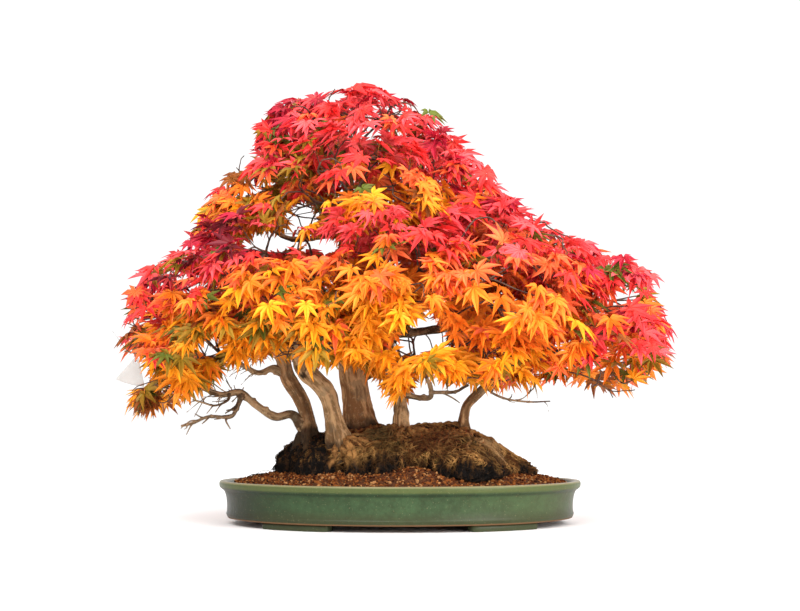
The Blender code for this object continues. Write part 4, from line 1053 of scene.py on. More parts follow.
def bark_material(name, pale, dark, ground=0.0, hollows=()):
    """Cracked bark: dark in the cracks and near the ground, pale on the ridges, with painted shade
    in hollows.
    """
    material, shader, place = new_material(name, Roughness=0.88, Specular_IOR_Level=0.15)
    grain = read_grain(material.node_tree)
    plates = grain.grain(150.0, 7.0, 0.66)
    broad = place.grain(34.0, 4.0, 0.6)
    line = grain.grain(190.0, 3.0, 0.5)
    cross = grain.grain(90.0, 3.0, 0.5, (1.0, 1.0, 7.0))
    crack = (line - 0.5).maths("ABSOLUTE").rise(0.040, 0.0)
    crack = crack.maths("MAXIMUM", crack, (cross - 0.5).maths("ABSOLUTE").rise(0.020, 0.0) * 0.7)
    colour = (0.6 * plates + 0.4 * broad).rise(0.44, 0.56).between(dark, pale)
    colour = (crack * 0.75).between(colour, CRACK_BROWN)
    speck = place.grain(200.0, 4.0, 0.7).rise(0.56, 0.66)
    colour = (speck * 0.45).between(colour, BARK_PALE)
    lichen = place.grain(48.0, 5.0, 0.65).rise(0.53, 0.62)
    colour = (lichen * 0.45).between(colour, BARK_LICHEN)
    # Painted shade: each hollow is darkened nearly to black, most at its middle.
    for middle, reach in hollows:
        away = place.away_from(SHIFT + np.array(middle) * MM)
        away = away + 0.006 * (place.grain(130.0, 3.0, 0.6) - 0.5)
        colour = (away.rise(reach * MM, 0.45 * reach * MM) * 0.94).between(colour, HOLLOW_SHADE_BLACK)
    if ground:
        low = (place.part(2) + 0.022 * (broad - 0.5)).rise(ground + 0.013, ground - 0.002)
        colour = (low * 0.88).between(colour, ROOT_BLACK)
    feed(shader, Base_Color=colour, bump=(plates - 0.6 * crack, 0.0036))
    return material


trunk_wood = {**{name: ("", *limb) for name, limb in TRUNKS.items()}, **BOUGHS}
# The front trunk's old wounds, their hollows painted dark with shade: each one's middle, and how
# far it reaches.
HOLLOWS = (
    ((-131, -75, 201), 7.0), ((-124, -78, 210), 6.0), ((-119, -75, 188), 5.0),
    ((-119, -83, 213), 6.0), ((-137, -70, 214), 5.5),
)
# Each trunk's bark: its ridges, its ground, and the height where the dark foot ends.
BARKS = {
    "trunk_left": ((0.520, 0.290, 0.135), (0.190, 0.094, 0.040), 0.130),
    "trunk_front": (BARK_GREY, (0.210, 0.115, 0.050), 0.106, HOLLOWS),
    "trunk_main": ((0.620, 0.335, 0.150), (0.250, 0.116, 0.046), 0.133),
    "trunk_middle": ((0.540, 0.320, 0.150), (0.170, 0.086, 0.036), 0.124),
    "trunk_right": ((0.520, 0.300, 0.140), (0.170, 0.086, 0.036), 0.122),
}
bark_pieces = {
    trunk: bark_material(trunk.replace("trunk", "bark"), *looks)
    for trunk, looks in BARKS.items()
}
# The boughs get a darker bark than their trunks: painted shade from the crown over them.
shaded_bough_bark = bark_material("bark_bough_shaded", (0.400, 0.250, 0.130), (0.095, 0.052, 0.025), 0.118)
for trunk_name, bark in bark_pieces.items():
    family = [trunk_name]
    family += [name for name, (carrier, _, _) in BOUGHS.items() if carrier == trunk_name]
    parts = []
    for limb in family:
        carrier, points, radii = trunk_wood[limb]
        inside = 0.0
        if carrier:
            _, line, line_radii = trunk_wood[carrier]
            near = np.linalg.norm(np.array(line) - points[0], axis=1).argmin()
            inside = line_radii[near] * MM
        skin, grain = limb_skin(limb, points, radii, inside)
        both = grid_faces(len(skin), skin.shape[1])
        parts.append((with_poles(skin), both, with_poles(grain)))
    points, faces, grain = joined_meshes(parts)
    paint = [np.full(len(some), k > 0) for k, part in enumerate(parts) for some in part[1]]
    piece = new_piece(
        trunk_name + "_bark", points, faces, [bark, shaded_bough_bark], True, np.concatenate(paint)
    )
    set_grain(piece, grain)
    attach(piece, "root")
    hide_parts(*family)

# ---------------------------------------------------------------- bare twigs
# Dead or leafless wood at the foot of the crown, grey and knobbly. Each twig has crooked
# side spurs where shoots have died back, and grows out of the bough that carries it.

# How thick each is drawn, how far apart its spurs stand in steps of 4 mm, and their reach.
BARE_STYLE = {
    "bare_branch": (1.45, 2, (0.004, 0.011)), "bare_twig_left": (1.10, 3, (0.005, 0.014)),
    "bare_fork": (1.00, 5, (0.008, 0.022)), "tag_twig": (0.85, 5, (0.004, 0.010)),
    "bare_twig_right": (0.85, 6, (0.005, 0.011)),
}
# Fine leafless twigs and old stubs also stand along these limbs, on their outer part.
TWIGGY = {"bough_low_left": (0.66, 18), "bough_left": (0.45, 16), "bough_front_left": (0.4, 8)}

BARE_SEED = 23
SPUR_STEP = 0.004
SPUR_TAPER = np.array((0.75, 0.55, 0.32))
FINE_TWIG_RADII = (0.0009, 0.0007, 0.0004)

twig_bark = bark_material("bare_bark", (0.36, 0.235, 0.135), (0.085, 0.050, 0.028))
bare_parts = []
rng = np.random.default_rng(BARE_SEED)


def add_bare(name, points, radii, inside):
    """Adds one twig, given in metres, which starts inside wood of the last radius."""
    skin, grain = limb_skin(name, np.array(points) / MM, np.array(radii) / MM, inside)
    faces = grid_faces(len(skin), skin.shape[1])
    bare_parts.append((with_poles(skin), faces, with_poles(grain)))


def add_spur(name, line, station, reach, thickness):
    """A crooked spur that leaves the limb at one of its stations."""
    ahead = line[station + 1] - line[station - 1]
    aside = np.cross(ahead, (0, 1, 0))
    aside = aside / np.linalg.norm(aside) * rng.choice((-1, 1)) + ahead / (2 * SPUR_STEP)
    aside += rng.normal(0, 0.45, 3)
    middle = line[station] + 0.45 * reach * aside
    tip = line[station] + reach * (aside + rng.normal(0, 0.30, 3))
    add_bare(name, (line[station], middle, tip), SPUR_TAPER * thickness, 0.001)
    return middle, tip


for name, (_, points, radii) in BARE.items():
    thick, every, reaches = BARE_STYLE[name]
    radii = np.array(radii) * thick
    add_bare(name, np.array(points) * MM, radii * MM, 0.003)
    line, width, _ = limb_line(points, radii, SPUR_STEP)
    for station in range(4, len(line) - 1, every):
        reach = rng.uniform(*reaches) * (2.0 if rng.random() < 0.2 else 1.0)
        add_spur(name, line, station, reach, 0.8 * width[station])
for name, (first, many) in TWIGGY.items():
    _, points, radii = BOUGHS[name]
    line, _, _ = limb_line(points, radii, SPUR_STEP)
    for station in rng.integers(round(len(line) * first), len(line) - 2, many):
        reach = rng.uniform(0.010, 0.020) if rng.random() < 0.6 else rng.uniform(0.005, 0.008)
        middle, tip = add_spur(name, line, station, reach, 0.0015)
        if reach > 0.010:
            aside = tip - middle + rng.normal(0, 0.35 * reach, 3)
            side_twig = (middle, middle + 0.5 * aside, middle + aside)
            add_bare(name, side_twig, FINE_TWIG_RADII, 0.0005)
# The right twig's side twigs turn up into the leaves.
for path in (((160, -17, 169), (170, -19, 172), (179, -21, 180), (187, -24, 190), (190, -26, 202)),
             ((178, -21, 179), (181, -22, 186), (179, -24, 196)),
             ((150, -16, 170), (154, -18, 174), (155, -19, 178))):
    add_bare("bare_twig_right", np.array(path) * MM, np.linspace(0.0011, 0.0005, len(path)), 0.0005)
points, faces, grain = joined_meshes(bare_parts)
bare = new_piece("bare_twigs", points, faces, [twig_bark])
set_grain(bare, grain)
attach(bare, "root")
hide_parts(*BARE)

# ---------------------------------------------------------------- the tag and its thread
# A fan of white card, punched near its point, with a softly curled lower edge. It hangs from
# its own twig by a loop of twisted two-ply thread, and nothing is printed on it.

TAG_HOLE = np.array((-0.3590, -0.0600, 0.2210)) + SHIFT
TAG_LENGTH = 0.0415
TAG_SPREAD = math.radians(30)
TAG_BOTTOM_ROUND = 0.30
TAG_TILT = math.radians(-14)
TAG_THICKNESS = 0.0010
TAG_HOLE_RADIUS = 0.0017
TAG_ABOVE_HOLE = 0.0065
TAG_CURL = 0.0010
TAG_SPOKES = 120
TAG_POINT_HALF = 0.0022
THREAD_RADIUS = 0.00034
THREAD_TOP = 0.2345
THREAD_TURNS = 26
THREAD_HALF_WIDTH = 0.0032

tag_paint, tag_shader, place = new_material("card", Roughness=0.7, Specular_IOR_Level=0.3)
pulp = place.grain(900.0, 5.0, 0.7)
stain = place.grain(60.0, 4.0, 0.6)
tone = (0.6 * stain + 0.4 * pulp).rise(0.30, 0.70)
feed(tag_shader, Base_Color=tone.between((0.46, 0.45, 0.43), (0.54, 0.535, 0.515)),
     bump=(pulp, 0.00012))
# Rings of the card run from the hole's edge out to the fan's own outline.
turns = np.arange(TAG_SPOKES) / TAG_SPOKES * math.tau
hole_edge = TAG_HOLE_RADIUS * np.stack([np.cos(turns), np.sin(turns)], axis=1)
sweep = np.linspace(-TAG_SPREAD, TAG_SPREAD, 70)
flat_bottom = math.cos(TAG_SPREAD) / np.cos(sweep)
reach = TAG_LENGTH * (TAG_BOTTOM_ROUND + (1 - TAG_BOTTOM_ROUND) * flat_bottom)
fan = np.stack([reach * np.sin(sweep), TAG_ABOVE_HOLE - reach * np.cos(sweep)], axis=1)
point = np.array(((TAG_POINT_HALF, TAG_ABOVE_HOLE), (-TAG_POINT_HALF, TAG_ABOVE_HOLE)))
fan = np.vstack([fan, point, fan[:1]])
run = np.append(0, np.cumsum(np.linalg.norm(np.diff(fan, axis=0), axis=1)))
even = np.linspace(0, run[-1], 720, endpoint=False)
fan = np.stack([np.interp(even, run, fan[:, axis]) for axis in (0, 1)], axis=1)
bearing = np.arctan2(fan[:, 1], fan[:, 0]) % math.tau
nearest = np.abs((bearing[None] - turns[:, None] + math.pi) % math.tau - math.pi).argmin(axis=1)
outer = fan[nearest]
steps = np.array((0.0, 0.03, 0.12, 0.30, 0.55, 0.80, 0.96, 1.0))[:, None, None]
sheet = hole_edge[None] * (1 - steps) + outer[None] * steps
bulge = TAG_THICKNESS / 2 * np.array((0.45, 1, 1, 1, 1, 1, 1, 0.45))[:, None]
wave = TAG_CURL * (-(sheet[..., 1] - TAG_ABOVE_HOLE) / TAG_LENGTH) ** 3
front = np.stack([sheet[..., 0], sheet[..., 1], wave + bulge], axis=-1)
back = np.stack([sheet[..., 0], sheet[..., 1], wave - bulge], axis=-1)[::-1]
card = np.concatenate([front, back])
cosine, sine = math.cos(TAG_TILT), math.sin(TAG_TILT)
flat_x = cosine * card[..., 0] - sine * card[..., 1]
flat_y = sine * card[..., 0] + cosine * card[..., 1]
card = np.stack([flat_x, -card[..., 2], flat_y], axis=-1) + TAG_HOLE
ring, spoke = np.meshgrid(np.arange(len(card)), np.arange(TAG_SPOKES), indexing="ij")
next_spoke = (spoke + 1) % TAG_SPOKES
here = ring * TAG_SPOKES
after = (ring + 1) % len(card) * TAG_SPOKES
card_faces = np.stack([here + spoke, after + spoke, after + next_spoke, here + next_spoke], axis=-1)
tag = new_piece("paper_tag", card.reshape(-1, 3), card_faces.reshape(-1, 4), [tag_paint])
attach(tag, "root")
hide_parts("tag")

thread_paint, thread_shader, place = new_material("thread", Roughness=0.8)
ply = place.grain(1500.0, 3.0, 0.6)
colour = ply.rise(0.3, 0.7).between((0.30, 0.10, 0.07), (0.46, 0.22, 0.16))
feed(thread_shader, Base_Color=colour, bump=(ply, 0.0001))
around = np.arange(240) / 240 * math.tau
half = (THREAD_TOP + SHIFT[2] - TAG_HOLE[2]) / 2
loop = np.stack([
    0 * around, THREAD_HALF_WIDTH * np.sin(around), half * (1 + np.cos(around))
], axis=1) + TAG_HOLE
strands = []
for phase in (0.0, math.pi):
    lay = THREAD_TURNS * around + phase
    outward = np.stack([0 * around, np.sin(around), np.cos(around)], axis=1)
    offset = 0.8 * THREAD_RADIUS * (
        np.cos(lay)[:, None] * outward + np.sin(lay)[:, None] * np.array((1.0, 0, 0))
    )
    strands.append(loop + offset)
strands = np.stack(strands)
strands = np.concatenate([strands, strands[:, :2]], axis=1)
points, faces = tubes_mesh(tube_rows(strands, np.full(strands.shape[:2], THREAD_RADIUS), 6))
thread = new_piece("tag_thread_loop", points, faces, [thread_paint])
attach(thread, "root")
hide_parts("tag_thread")

# ---------------------------------------------------------------- twigs
# The foliage masses. From each limb's tip a tree of twigs grows to spaced-out points, every
# one joining where that is shortest, and then to finer points round them in the same space.

# Foliage masses, in millimetres: the limb that carries it, centre and half sizes.
MASSES = {
    "foliage_top": ("trunk_main", (-62, -5, 542), (168, 138, 84)),
    "foliage_upper_left": ("bough_upper_left", (-192, -10, 474), (124, 135, 76)),
    "foliage_upper_right": ("bough_upper_right", (80, -5, 482), (126, 135, 88)),
    "foliage_upper_front": ("bough_upper_front", (-55, -130, 452), (132, 100, 82)),
    "foliage_upper_back": ("bough_upper_back", (-50, 135, 462), (145, 112, 84)),
    "foliage_shoulder": ("bough_shoulder", (182, 5, 398), (124, 150, 78)),
    "foliage_left": ("trunk_left", (-288, -10, 332), (126, 156, 76)),
    "foliage_front_left": ("trunk_front", (-152, -165, 328), (116, 116, 72)),
    "foliage_front": ("bough_front", (-15, -188, 340), (120, 106, 76)),
    "foliage_front_right": ("trunk_middle", (115, -165, 322), (120, 120, 74)),
    "foliage_right": ("bough_right", (292, -10, 318), (120, 156, 74)),
    "foliage_back_left": ("bough_back_left", (-160, 180, 330), (155, 116, 84)),
    "foliage_back_right": ("bough_back_right", (110, 185, 335), (160, 116, 88)),
    "foliage_low_left": ("bough_low_left", (-312, -20, 228), (104, 136, 66)),
    "foliage_low_centre_left": ("bough_left", (-222, -90, 262), (92, 100, 50)),
    "foliage_low_front_left": ("bough_front_left", (-105, -130, 256), (98, 92, 50)),
    "foliage_low_front": ("bough_elbow", (58, -125, 236), (118, 100, 60)),
    "foliage_low_right": ("trunk_right", (272, -20, 232), (136, 156, 70)),
    "foliage_low_back": ("bough_low_back", (40, 165, 240), (160, 118, 64)),
}
# The crown's outline, by height: left edge, right edge, half depth.
CROWN_TOP_Z = 0.612
CROWN_ROWS = (
    (0.618, -0.085, -0.045, 0.030),
    (0.600, -0.152, 0.016, 0.085),
    (0.565, -0.194, 0.055, 0.125),
    (0.500, -0.232, 0.112, 0.165),
    (0.444, -0.276, 0.172, 0.200),
    (0.390, -0.310, 0.262, 0.238),
    (0.343, -0.376, 0.360, 0.265),
    (0.280, -0.395, 0.390, 0.280),
    (0.210, -0.395, 0.385, 0.275),
    (0.155, -0.384, 0.320, 0.230),
)
CROWN_POWER = 2.8
CELL_MARGIN = 0.015
SPRAY_SHARE = 3.0
SPRAY_SPACING = 0.040
SPRAY_TRIES = 60
FIRST_TWIG = 0.014
SPRAY_INSET = 0.024
TWIG_THICKENING = 0.42
STEM_SHARE = 0.92
TWIG_SEED = 1207
FINE_SPRAYS = 84
FINE_SPACING = 0.0165
FINE_TRIES = 80
FINE_TIP = 0.00068
BOUGHLET_RADIUS = 0.0013
# A run longer than this bends at its middle.
BENT_RUN = 0.022
LIMB_SPACING = 0.006
# The crown seen from the front, by height: its left and right edges.
FRONT_EDGE = (
    (0.150, -0.385, 0.340), (0.220, -0.390, 0.370), (0.255, -0.395, 0.390),
    (0.290, -0.385, 0.370), (0.345, -0.378, 0.360), (0.375, -0.328, 0.306),
    (0.400, -0.292, 0.230), (0.445, -0.282, 0.174), (0.490, -0.243, 0.127),
    (0.510, -0.225, 0.125), (0.545, -0.216, 0.087), (0.590, -0.176, 0.040),
    (0.616, -0.080, -0.045),
)
# The lowest that leaves hang, from the left end of the crown to its right end.
SKIRT = (
    (-0.395, 0.200), (-0.375, 0.155), (-0.350, 0.142), (-0.325, 0.158), (-0.285, 0.171),
    (-0.240, 0.217), (-0.180, 0.230), (-0.115, 0.214), (-0.060, 0.218), (-0.032, 0.200),
    (-0.010, 0.163), (0.010, 0.163), (0.030, 0.206), (0.095, 0.184), (0.260, 0.192),
    (0.305, 0.167), (0.325, 0.181), (0.367, 0.212), (0.392, 0.252),
)
# The windows through the crown, seen from the front: each one's middle and half sizes.
SKY_WINDOWS = (
    ((-0.139, 0.430), (0.027, 0.015)), ((-0.184, 0.391), (0.040, 0.013)),
    ((-0.105, 0.387), (0.023, 0.012)), ((0.038, 0.264), (0.023, 0.028)),
    ((0.007, 0.250), (0.011, 0.013)), ((0.314, 0.314), (0.015, 0.013)),
    ((-0.266, 0.244), (0.019, 0.014)), ((-0.378, 0.209), (0.026, 0.026)),
)


def in_crown(points, shrink=0.0):
    """True for points inside the crown's outline, drawn in by shrink metres: at each height
    a squared oval, where |x / a|^p + |y / b|^p is less than 1."""
    rows = np.array(CROWN_ROWS)[::-1]
    x, y, z = np.asarray(points).T
    left, right, depth = (np.interp(z, rows[:, 0], rows[:, column]) for column in (1, 2, 3))
    across = (x - (left + right) / 2) / ((right - left) / 2 - shrink)
    along = y / (depth - shrink)
    return (
        (np.abs(across) ** CROWN_POWER + np.abs(along) ** CROWN_POWER < 1)
        & (z < CROWN_TOP_Z - shrink)
    )


def in_mass(name, points, reach=1.0, shrink=0.0):
    """True for points in the mass's own space: nearer to it, by its sizes, than to any other."""
    points = np.asarray(points)
    away = {
        other: np.linalg.norm((points - np.array(centre) * MM) / (np.array(half) * MM), axis=1)
        for other, (_, centre, half) in MASSES.items()
    }
    mine = away.pop(name)
    others = np.min(list(away.values()), axis=0)
    return (mine < reach) & (mine + CELL_MARGIN < others) & in_crown(points, shrink)


def spray_points(name, rng):
    """Places for sprays of leaves, spaced out and most of them near the mass's skin."""
    _, centre, half = MASSES[name]
    centre, half = np.array(centre) * MM, np.array(half) * MM
    litres = 4 / 3 * math.pi * np.prod(half) * 1000
    wanted = round(SPRAY_SHARE * litres ** (2 / 3))
    found = []
    for _ in range(wanted * SPRAY_TRIES):
        if len(found) == wanted:
            break
        direction = rng.normal(size=3)
        direction /= np.linalg.norm(direction)
        if direction[2] < -0.35 and rng.random() < 0.5:
            continue
        reach = half * direction
        reach *= max(0.25, 1 - SPRAY_INSET / np.linalg.norm(reach))
        place = centre + reach * rng.uniform(0.3, 1.0) ** 0.5
        if not in_mass(name, place[None], shrink=SPRAY_INSET)[0]:
            continue
        if found and np.min(np.linalg.norm(np.array(found) - place, axis=1)) < SPRAY_SPACING:
            continue
        found.append(place)
    return np.array(found)


def seen_at(points):
    """Where points come as seen from the front: side and height at the plant's middle."""
    points = np.asarray(points)
    depth = 1 + points[..., 1] / EYE_DISTANCE
    return points[..., 0] / depth, EYE_HEIGHT + (points[..., 2] - EYE_HEIGHT) / depth


def in_window(points):
    """True for points that would show in one of the windows through the crown."""
    side, height = seen_at(points)
    inside = np.zeros(side.shape, bool)
    for middle, half in SKY_WINDOWS:
        inside |= np.hypot((side - middle[0]) / half[0], (height - middle[1]) / half[1]) < 1
    return inside


def is_open(points):
    """True where leaves may be: in the crown, above its skirt, out of the open windows."""
    side, height = seen_at(points)
    rows = np.array(FRONT_EDGE)
    clear = side > np.interp(height, rows[:, 0], rows[:, 1])
    clear &= side < np.interp(height, rows[:, 0], rows[:, 2])
    clear &= height > np.interp(side, *np.array(SKIRT).T)
    return clear & ~in_window(points) & in_crown(points.reshape(-1, 3), -0.006).reshape(side.shape)


def fine_points(name, sprays, rng):
    """Places for the small sprays, spaced out, most of them near the mass's own skin."""
    _, centre, half = MASSES[name]
    centre, half = np.array(centre) * MM, np.array(half) * MM
    direction = rng.normal(size=(FINE_SPRAYS * FINE_TRIES, 3))
    direction /= np.linalg.norm(direction, axis=1, keepdims=True)
    reach = half * direction * rng.uniform(0.2, 1.55, (len(direction), 1)) ** 0.5
    places = centre + reach
    places = places[in_mass(name, places, 1.16, 0.010) & is_open(places)]
    found = list(sprays)
    for place in places:
        if np.min(np.linalg.norm(np.array(found) - place, axis=1)) > FINE_SPACING:
            found.append(place)
        if len(found) == FINE_SPRAYS + len(sprays):
            break
    return np.array(found[len(sprays):])


def twig_tree(start, direction, sprays, fine):
    """Nodes, parents, headings and ends: each spray joins where that costs least, which is the
    run's length, less where it lies straight ahead, and a share of the way back to the limb.

    Every run bends, because it leaves its node in that node's own direction."""
    nodes = [np.array(start), np.array(start) + direction * FIRST_TWIG]
    parents = [-1, 0]
    lengths = [0.0, FIRST_TWIG]
    heading = [direction, direction]
    ends = []
    order = np.argsort(np.linalg.norm(sprays - start, axis=1))
    fine_order = np.argsort(np.linalg.norm(fine - start, axis=1))
    for number, spray in enumerate([*sprays[order], *fine[fine_order]]):
        known = np.array(nodes)
        away = spray - known
        distance = np.linalg.norm(away, axis=1) + 1e-9
        facing = np.sum(away * np.array(heading), axis=1) / distance
        cost = distance * (1.25 - 0.45 * facing) + 0.35 * np.array(lengths)
        cost[0] = math.inf
        if number < len(sprays):
            cost[ends] = math.inf
        joint = int(np.argmin(cost))
        bend = known[joint] + away[joint] * 0.5 + heading[joint] * distance[joint] * 0.16
        bend[2] += 0.06 * distance[joint]
        for place in (bend, spray) if distance[joint] > BENT_RUN else (spray,):
            step = place - nodes[joint]
            nodes.append(place)
            parents.append(joint)
            lengths.append(lengths[joint] + np.linalg.norm(step))
            heading.append(step / (np.linalg.norm(step) + 1e-9))
            joint = len(nodes) - 1
        ends.append(joint)
    return np.array(nodes), np.array(parents), np.array(heading), np.array(ends)


limb_stations = []
for _, points, radii in [*trunk_wood.values(), *BARE.values()]:
    line, width, _ = limb_line(points, radii, LIMB_SPACING)
    limb_stations.append(np.column_stack([line, width]))
limb_stations = np.vstack(limb_stations)


def clear_of_limbs(points, gap):
    """True for points farther than gap from every trunk, bough and bare twig."""
    points = np.asarray(points)
    clear = np.ones(len(points), bool)
    for station in limb_stations:
        clear &= np.linalg.norm(points - station[:3], axis=1) > station[3] + gap
    return clear


# Sprays that hang from the tag's twig, below the crown's left end: each run's two ends.
HANGING = (
    ((-306, -51, 209), (-336, -60, 186)), ((-336, -60, 186), (-360, -62, 181)),
    ((-336, -60, 186), (-334, -66, 170)),
)
# A run's row holds its start, its end, and how it leaves and arrives, three numbers each. In
# twig_edges its two radii follow, and in spray_ends its mass, and 1 where it is a tip.
twig_edges = []
spray_ends = []
for index, name in enumerate(MASSES):
    rng = np.random.default_rng(TWIG_SEED + index)
    _, points, radii = trunk_wood[MASSES[name][0]]
    tip = np.array(points[-1]) * MM
    direction = tip - np.array(points[-2]) * MM
    direction /= np.linalg.norm(direction)
    sprays = spray_points(name, rng)
    fine = fine_points(name, sprays, rng)
    nodes, parents, heading, ends = twig_tree(tip - direction * 0.001, direction, sprays, fine)
    load = np.zeros(len(nodes))
    for end in ends:
        while end >= 0:
            load[end] += 1
            end = parents[end]
    share = np.maximum(load - 1, 0) / max(1, load[0])
    width = FINE_TIP + (radii[-1] * MM * STEM_SHARE - FINE_TIP) * share**TWIG_THICKENING
    ahead = heading[parents[1:]]
    ahead[0] = direction
    span = np.linalg.norm(nodes[1:] - nodes[parents[1:]], axis=1, keepdims=True)
    start_width = np.minimum(width[parents[1:]], width[1:] * 1.3)
    start_width[0] = radii[-1] * MM * 0.97
    twig_edges.append(np.hstack([
        nodes[parents[1:]], nodes[1:], ahead * span, heading[1:] * span,
        start_width[:, None], width[1:, None],
    ]))
    carried = load[1:] <= 2
    spray_ends.append(np.hstack([
        nodes[parents[1:]][carried], nodes[1:][carried], (ahead * span)[carried],
        (heading[1:] * span)[carried], np.full((carried.sum(), 1), index),
        (load[1:][carried] == 1)[:, None],
    ]))
hang_index = [*MASSES].index("foliage_low_left")
for fork, tip in HANGING:
    fork, tip = np.array(fork) * MM, np.array(tip) * MM
    along, down = tip - fork, np.array((0, 0, -0.8)) * np.linalg.norm(tip - fork)
    twig_edges.append(np.hstack([fork, tip, 0.5 * along, down, 0.0009, FINE_TIP])[None])
    spray_ends.append(np.hstack([fork, tip, 0.5 * along, down, hang_index, 1])[None])
twig_edges = np.vstack(twig_edges)
spray_ends = np.vstack(spray_ends)


def along_edge(edges, t):
    """A place and a direction on the bent run between two nodes: Hermite's cubic,
    p = (2t^3 - 3t^2 + 1) a + (t^3 - 2t^2 + t) u + (3t^2 - 2t^3) b + (t^3 - t^2) v."""
    a, b, u, v = (edges[..., 3 * k:3 * k + 3] for k in range(4))
    t = np.asarray(t)[..., None]
    place = (2 * t**3 - 3 * t**2 + 1) * a + (t**3 - 2 * t**2 + t) * u
    place = place + (3 * t**2 - 2 * t**3) * b + (t**3 - t**2) * v
    slope = (6 * t**2 - 6 * t) * (a - b) + (3 * t**2 - 4 * t + 1) * u + (3 * t**2 - 2 * t) * v
    return place, slope / (np.linalg.norm(slope, axis=-1, keepdims=True) + 1e-9)


twig_paint, twig_shader, place = new_material("twig_bark", Roughness=0.7)
tone = place.grain(70.0, 4.0, 0.6)
rib = place.grain(600.0, 3.0, 0.6)
colour = tone.rise(0.32, 0.7).between((0.042, 0.019, 0.011), (0.135, 0.068, 0.038))
feed(twig_shader, Base_Color=colour, bump=(rib, 0.0003))
for label, low, high, sides in (
    ("boughlets", BOUGHLET_RADIUS, 1.0, 9), ("fine_twigs", 0.0, BOUGHLET_RADIUS, 5),
):
    some = twig_edges[(twig_edges[:, 13] >= low) & (twig_edges[:, 13] < high)]
    t = np.broadcast_to(np.linspace(0, 1, 5), (len(some), 5))
    places, _ = along_edge(some[:, None], t)
    widths = some[:, 12:13] + (some[:, 13:14] - some[:, 12:13]) * t
    rows = tube_rows(places + SHIFT, widths, sides)
    points, faces = tubes_mesh(rows)
    twigs = new_piece(label, points, faces, [twig_paint])
    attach(twigs, "root")
    if label == "boughlets":
        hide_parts(*MASSES)

# ---------------------------------------------------------------- leaves and their stalks
# Seven-fingered leaves in opposite pairs, each on a thin red stalk. The pads turn red from
# the top and the outside, and stay gold and orange underneath.

LEAF_TINTS = {
    "pink": (0.900, 0.086, 0.098), "scarlet": (0.800, 0.041, 0.040),
    "crimson": (0.460, 0.012, 0.038), "maroon": (0.170, 0.012, 0.022),
    "vermilion": (0.950, 0.152, 0.044), "orange": (0.950, 0.225, 0.018),
    "gold": (0.950, 0.338, 0.013), "amber": (0.880, 0.300, 0.011),
    "olive": (0.320, 0.180, 0.016), "green": (0.120, 0.132, 0.018),
    "russet": (0.300, 0.085, 0.018),
}
GOLD_TINTS = ("orange", "gold", "amber", "olive", "green", "russet")
# How red each mass is at its middle: 0 is gold, 1 is the pink-red of the crown's top.
REDNESS = {
    "foliage_top": 0.60, "foliage_upper_left": 0.44, "foliage_upper_right": 0.55,
    "foliage_upper_front": 0.42, "foliage_upper_back": 0.58, "foliage_shoulder": 0.52,
    "foliage_left": 0.60, "foliage_front_left": 0.47, "foliage_front": 0.44,
    "foliage_front_right": 0.42, "foliage_right": 0.62, "foliage_back_left": 0.45,
    "foliage_back_right": 0.50, "foliage_low_left": 0.24, "foliage_low_centre_left": 0.14,
    "foliage_low_front_left": 0.12, "foliage_low_front": 0.26, "foliage_low_right": 0.42,
    "foliage_low_back": 0.20,
}
FINGERS = np.radians((0.0, 37.0, -37.0, 76.0, -76.0, 122.0, -122.0))
FINGER_LENGTHS = np.array((1.0, 0.92, 0.92, 0.72, 0.72, 0.40, 0.40))
FINGER_HALF = 0.120
TIP_RADIUS = 0.38
LEAF_SIZES = (0.0245, 0.0400)
STALK_LENGTHS = (0.009, 0.020)
LEAF_OVERHANG = 0.012
LEAF_SEED = 77
# A leaf stays where most of its finger tips are in the open, and little of it in a window.
OPEN_SHARE = 0.70
WINDOW_SHARE = 0.14
LIMB_GAP = 0.006
# Where pairs of leaves stand along a tip, and how many of the tips have a pair there.
PAIR_PLACES = (1.0, 0.86, 0.50)
PAIR_SHARES = (1.0, 0.90, 0.45)
# A finger's edge: how far along it, and how far out from its middle, in shares.
FINGER_OUTLINE = ((0.46, 1.0), (0.76, 0.46))


def leaf_pattern():
    """One flat leaf: places (along, across), distance from the nearest finger's middle, and
    faces. Point 0 is where the stalk joins."""
    places, off, faces = [(0.0, 0.0)], [0.0], []

    def add(angle, along, aside):
        """Adds the place that lies so far along a finger's middle and so far beside it."""
        places.append((along * math.cos(angle) - aside * math.sin(angle),
                       along * math.sin(angle) + aside * math.cos(angle)))
        off.append(abs(aside))
        return len(places) - 1

    order = np.argsort(FINGERS)
    angles, lengths = FINGERS[order], FINGER_LENGTHS[order]
    notches = [add(angles[0] - 0.5, 0.10, 0.0)]
    for k in range(6):
        notches.append(add((angles[k] + angles[k + 1]) / 2, 0.27 * min(lengths[k:k + 2]) + 0.06, 0))
    notches.append(add(angles[-1] + 0.5, 0.10, 0.0))
    for notch in notches:
        off[notch] = 0.08
    for k, (angle, length) in enumerate(zip(angles, lengths)):
        half = FINGER_HALF * (0.55 + 0.45 * length)
        middle = [add(angle, 0.40 * length, 0), add(angle, 0.74 * length, 0), add(angle, length, 0)]
        for side, notch in ((-1, notches[k]), (1, notches[k + 1])):
            edge = [add(angle, u * length, side * v * half) for u, v in FINGER_OUTLINE]
            strip = [(0, notch, edge[0], middle[0]), (middle[0], edge[0], edge[1], middle[1])]
            strip = [face if side < 0 else face[::-1] for face in strip]
            last = (middle[1], edge[1], middle[2])
            faces += [*((f[0], f[1], f[2]) for f in strip), *((f[0], f[2], f[3]) for f in strip)]
            faces.append(last if side < 0 else last[::-1])
    return np.array(places), np.array(off), np.array(faces)


